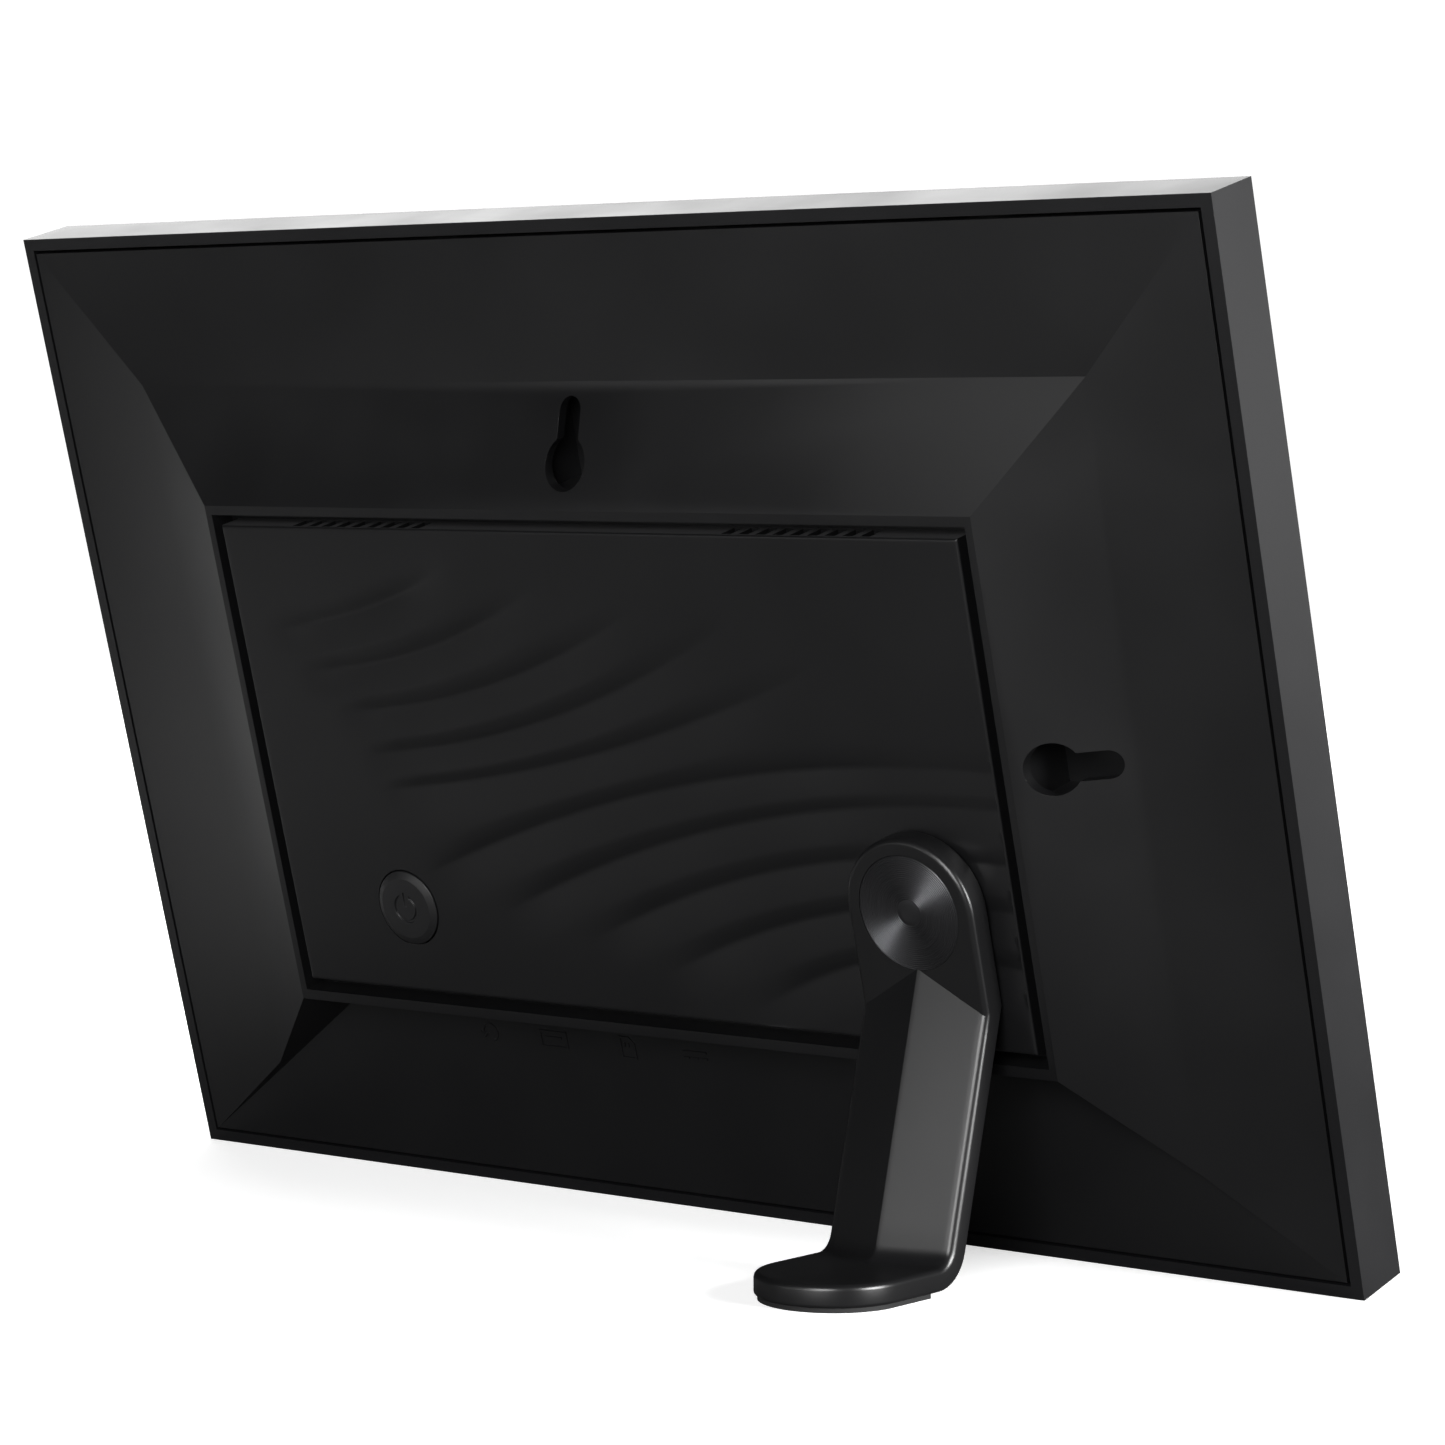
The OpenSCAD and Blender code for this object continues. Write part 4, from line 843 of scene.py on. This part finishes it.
def leg_side(p, rho, front):
    """A point (y, z) on the leg's front or back at place p, for a column rho from the middle:
    0 head centre, 1 knee, 2 to 3 the bend, 4 the foot's round end. The front of the shank
    stands out by the ridge's height there, which falls evenly to nothing at the sides."""
    if front:
        slope = np.hypot(rho, RIDGE_SOFT) / math.hypot(LEG_R, RIDGE_SOFT)
        rise = RIDGE_H * (1 - slope)[..., None]
        start = HEAD_FRONT * OFF_FRAME + HEAD_Z * UP_FRAME
        knee = KNEE + rise * (OUT - DOWN / math.tan(SLANT + LEAN))
        radius, level = BEND_R, FOOT_TOP
        fall = (knee[..., 1:] - level) / math.cos(SLANT)
        ankle = knee + fall * DOWN
    else:
        start = (HEAD_BACK * OFF_FRAME + HEAD_Z * UP_FRAME) + 0 * rho[..., None]
        base = KNEE - SHANK_T * OUT
        climb = (base @ OFF_FRAME - HEAD_BACK) / math.sin(SLANT + LEAN)
        knee = base - climb * DOWN + 0 * rho[..., None]
        radius, level = BEND_R + SHANK_T, FOOT_LOW
        ankle = knee + (knee[..., 1:] - level) / math.cos(SLANT) * DOWN
    reach = radius * math.tan(TURNED / 2)
    enter = ankle - reach * DOWN
    leave = ankle + np.array([reach, 0])
    end = np.array([FOOT_END, level]) + 0 * leave
    place = along(p, [start + 0 * leave, knee, enter, leave, end])
    # Between stops 2 and 3 the straight cut is replaced by the arc
    swing = np.clip(p - 2, 0, 1)[..., None] * TURNED
    centre = leave + np.array([0, radius])
    arc = centre + radius * np.concatenate([-np.sin(TURNED - swing), -np.cos(TURNED - swing)], -1)
    return np.where(((p >= 2) & (p <= 3))[..., None], arc, place)


# Rows from the head's round end to the foot's: the seat ends at this share of the way from
# the head's centre to the knee, and each part has so many rows
SEAT_ROW = 0.96
ROUND_ROWS, SEAT_ROWS, SHANK_ROWS, BEND_ROWS, FOOT_ROWS = 17, 9, 12, 9, 5
head_turn = np.radians(np.linspace(90, 0, ROUND_ROWS))
down_rows = np.concatenate([
    np.linspace(0, SEAT_ROW, SEAT_ROWS)[1:], [SEAT_ROW + 1e-6, 1.0],
    np.linspace(1, 2, SHANK_ROWS)[1:], np.linspace(2, 3, BEND_ROWS)[1:],
    np.linspace(3, 4, FOOT_ROWS)[1:],
])
foot_turn = np.radians(np.linspace(0, 90, ROUND_ROWS))[1:]
p_row = np.concatenate([0 * head_turn, down_rows, 4 + 0 * foot_turn])
head_row = np.concatenate([head_turn, 0 * down_rows, 0 * foot_turn])
foot_row = np.concatenate([0 * head_turn, 0 * down_rows, foot_turn])
in_seat_row = np.arange(len(p_row)) < ROUND_ROWS + SEAT_ROWS - 1

# Columns from the front's middle round the side to the back's middle: how far from the
# middle each lies, and how far it has sunk from the front or the back
bevel = np.radians(np.linspace(0, 90, 7))
flat = np.array([0, 0.3, 0.7, 1.4, 2.8, 4.6, 6.4, 8.2, SEAT_R, SEAT_R, 10.9, LEG_R - FRONT_EDGE])
rho_ring = np.concatenate([flat, LEG_R - FRONT_EDGE * (1 - np.sin(bevel[1:])),
                           LEG_R - BACK_EDGE * (1 - np.cos(bevel)), [8.2, 4.0, 0]])
sink_ring = np.concatenate([0 * flat, FRONT_EDGE * (1 - np.cos(bevel[1:])),
                            BACK_EDGE * (1 - np.sin(bevel)), [0, 0, 0]])
column = np.arange(len(rho_ring))
front_ring = column < len(flat) + len(bevel) - 1
seat_ring = column <= np.flatnonzero(flat == SEAT_R)[0]

P, RHO = np.meshgrid(p_row, rho_ring, indexing="ij")
front_side = leg_side(P, RHO, True)
back_side = leg_side(P, RHO, False)
inward = back_side - front_side
inward /= np.linalg.norm(inward, axis=-1, keepdims=True)
SINK = np.broadcast_to(sink_ring, P.shape)[..., None]
side = np.where(front_ring[None, :, None], front_side + inward * SINK, back_side - inward * SINK)

# The round head and foot: the same rings, turned about the head's and the foot's centre
HEAD, FOOT = head_row[:, None], foot_row[:, None]
side = side + (RHO * np.sin(HEAD))[..., None] * UP_FRAME
side = side + np.stack([RHO * np.sin(FOOT), 0 * RHO], -1)
leg_x = RHO * np.cos(HEAD) * np.cos(FOOT)

# The disc's seat: square rings of points under the head's centre become circles
low_head = (P > 0) & (P <= 1) & front_ring[None, :] & (sink_ring == 0)[None, :]
a, b = np.minimum(RHO / SEAT_R, 1), np.minimum(P / SEAT_ROW, 1)
ring_c = np.maximum(RHO / SEAT_R, P / SEAT_ROW)
near_c = np.maximum(np.maximum(a, b), 1e-9)
swing = np.where(a >= b, math.pi / 4 * b / near_c, math.pi / 2 - math.pi / 4 * a / near_c)
on_ring = SEAT_R * np.where(ring_c <= 1, near_c, 1.0)
inner_p = np.where(ring_c <= 1, P, np.minimum(P, SEAT_ROW))
inner_square = leg_side(inner_p, np.minimum(RHO, SEAT_R), True)
circle_x = on_ring * np.cos(swing)
circle_side = HEAD_FRONT * OFF_FRAME + (HEAD_Z - on_ring * np.sin(swing))[..., None] * UP_FRAME
beyond = np.maximum((RHO - SEAT_R) / (LEG_R - FRONT_EDGE - SEAT_R), (P - SEAT_ROW) / (1 - SEAT_ROW))
fade = 1 - np.clip(beyond, 0, 1)
leg_x = np.where(low_head, leg_x + fade * (circle_x - np.minimum(RHO, SEAT_R)), leg_x)
side = np.where(low_head[..., None], side + fade[..., None] * (circle_side - inner_square), side)
in_seat = in_seat_row[:, None] & seat_ring[None, :]
side = side - np.where(in_seat, SEAT_DEEP, 0)[..., None] * OFF_FRAME

half = np.concatenate([leg_x[..., None], side], -1)
loop = np.concatenate([half, (half * [-1, 1, 1])[::-1][1:-1]])
loop[..., 0] += PIVOT_X
loop[..., 1] -= MID_Y
leg_points = loop.reshape(-1, 3) / 1000
leg_faces = quads(loop.shape[0], loop.shape[1], wrap_rows=True)


def turned(profile, centre, segments, close=False):
    """A profile (radius, y) in mm, revolved about an axis out of the frame's back: each point
    goes round it at its radius, by the cosine and sine of the angle."""
    profile = np.asarray(profile, float)
    a = np.linspace(0, 2 * np.pi, segments, endpoint=False)[:, None]
    x = centre[0] + profile[:, 0] * np.cos(a)
    z = centre[1] + profile[:, 0] * np.sin(a)
    points = stood(np.stack([x, profile[:, 1] + 0 * x, z], -1))
    return points.reshape(-1, 3), quads(segments, len(profile), wrap_rows=True, wrap_columns=close)


barrel = [(BARREL_BORE, BARREL_LOW), (BARREL_R, BARREL_LOW),
          (BARREL_R, BARREL_HIGH), (BARREL_BORE, BARREL_HIGH)]
barrel_points, barrel_faces = turned(barrel, (PIVOT_X, HEAD_Z), BARREL_SIDES, close=True)
leg_mesh = closed("stand_leg_moulding", np.vstack([leg_points, barrel_points]),
                  np.vstack([leg_faces, barrel_faces + len(leg_points)]))
# Satin ABS: near-black, smooth enough for long soft highlights down the shank and round the foot
leg_abs = moulded("satin_black_leg_abs", "#101011", "#131314", 0.32)
leg = show("stand_leg_moulding", leg_mesh, leg_abs, crisp=21)
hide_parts("stand_leg")
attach(leg, "leg")

# ------------------------------------------------------------- turned disc
# The disc on the leg's head is aluminium, faced on a lathe and dyed black. The tool leaves
# fine rings, which throw two bright wedges and leave two dark ones.

# Its radius, and how far out of the back its face and underside lie
DISC_R, DISC_FACE, DISC_BACK = 10.0, 15.96, 15.24
# The rings' pitch and depth, points to a ring, and the flat centre they stop short of
RING_PITCH, RING_DEEP = 0.36, 0.075
RING_POINTS = 8
CENTRE_R, CENTRE_GAP = 2.1, 0.2
# The flat centre and rim lie this far under the face, and the rim is bevelled
FACE_DIP, RIM_BEVEL = 0.02, 0.06
DISC_SIDES = 160
# The finest tool marks' pitch and depth, and how wide the coarser bands are
MARK_PITCH, MARK_DEEP = 0.12, 0.004
BAND_MM = 0.8

radii = np.arange(CENTRE_R + CENTRE_GAP, DISC_R - 2 * RIM_BEVEL, RING_PITCH / RING_POINTS)
ripple = 0.5 + 0.5 * np.cos(2 * np.pi * (radii - radii[0]) / RING_PITCH)
low_face = DISC_FACE - FACE_DIP
profile = np.concatenate([
    [(0, low_face), (CENTRE_R * 0.6, low_face), (CENTRE_R, low_face)],
    np.stack([radii, DISC_FACE - RING_DEEP * ripple], 1),
    [(DISC_R - RIM_BEVEL, low_face), (DISC_R, low_face - RIM_BEVEL)],
    [(DISC_R, DISC_BACK), (0, DISC_BACK)],
])
disc_points, disc_faces = turned(profile, (PIVOT_X, HEAD_Z), DISC_SIDES)
# Anodised aluminium, dyed black: a dark metallic grey. The finest tool marks, by their distance
# from the axis, lie over the modelled rings, and the cut is coarser in some bands than in others
material, tree, shader, where = finish(
    "lathe_faced_black_anodised_aluminium", "#545456", 0.34, Metallic=1.0)
centred = add(tree, "ShaderNodeMapping", {
    "Vector": where, "Rotation": (LEAN, 0, 0),
    "Location": (-PIVOT_X / 1000, 0, (MID_Y * math.sin(LEAN) - HEAD_Z) / 1000)})
flat_spot = add(tree, "ShaderNodeVectorMath", {0: centred.outputs[0], 1: (1, 0, 1)},
                operation="MULTIPLY")
from_axis = add(tree, "ShaderNodeVectorMath", {0: flat_spot.outputs[0]}, operation="LENGTH")
radius = from_axis.outputs["Value"]
turns = add(tree, "ShaderNodeMath", {0: radius, 1: 2 * math.pi * 1000 / MARK_PITCH},
            operation="MULTIPLY")
ridges = add(tree, "ShaderNodeMath", {0: turns.outputs[0]}, operation="SINE")
bands = add(tree, "ShaderNodeTexNoise", {"W": radius, "Scale": 1000 / BAND_MM, "Detail": 2},
            noise_dimensions="1D")
gloss = add(tree, "ShaderNodeMapRange", {
    "Value": bands.outputs["Fac"], "From Min": NOISE_LOW, "From Max": NOISE_HIGH,
    "To Min": 0.28, "To Max": 0.4})
bump = add(tree, "ShaderNodeBump", {"Height": ridges.outputs[0], "Distance": MARK_DEEP / 1000})
tree.links.new(gloss.outputs["Result"], shader.inputs["Roughness"])
tree.links.new(bump.outputs["Normal"], shader.inputs["Normal"])
disc_mesh = closed("turned_disc_face", disc_points, disc_faces)
disc = show("turned_disc_face", disc_mesh, material, crisp=50)
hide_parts("turned_disc")
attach(disc, "leg")

# ---------------------------------------------------------------- foot pad
# A thin pad of soft rubber is stuck under the foot, a little smaller than it, so that it
# grips the table and only a dark line of it shows.

# Rubber: a flat, dry black without highlights
rubber = moulded("soft_black_rubber", "#101011", "#131314", 0.75, grain=0.8, depth=0.02)
dress(rubber, "foot_pad")
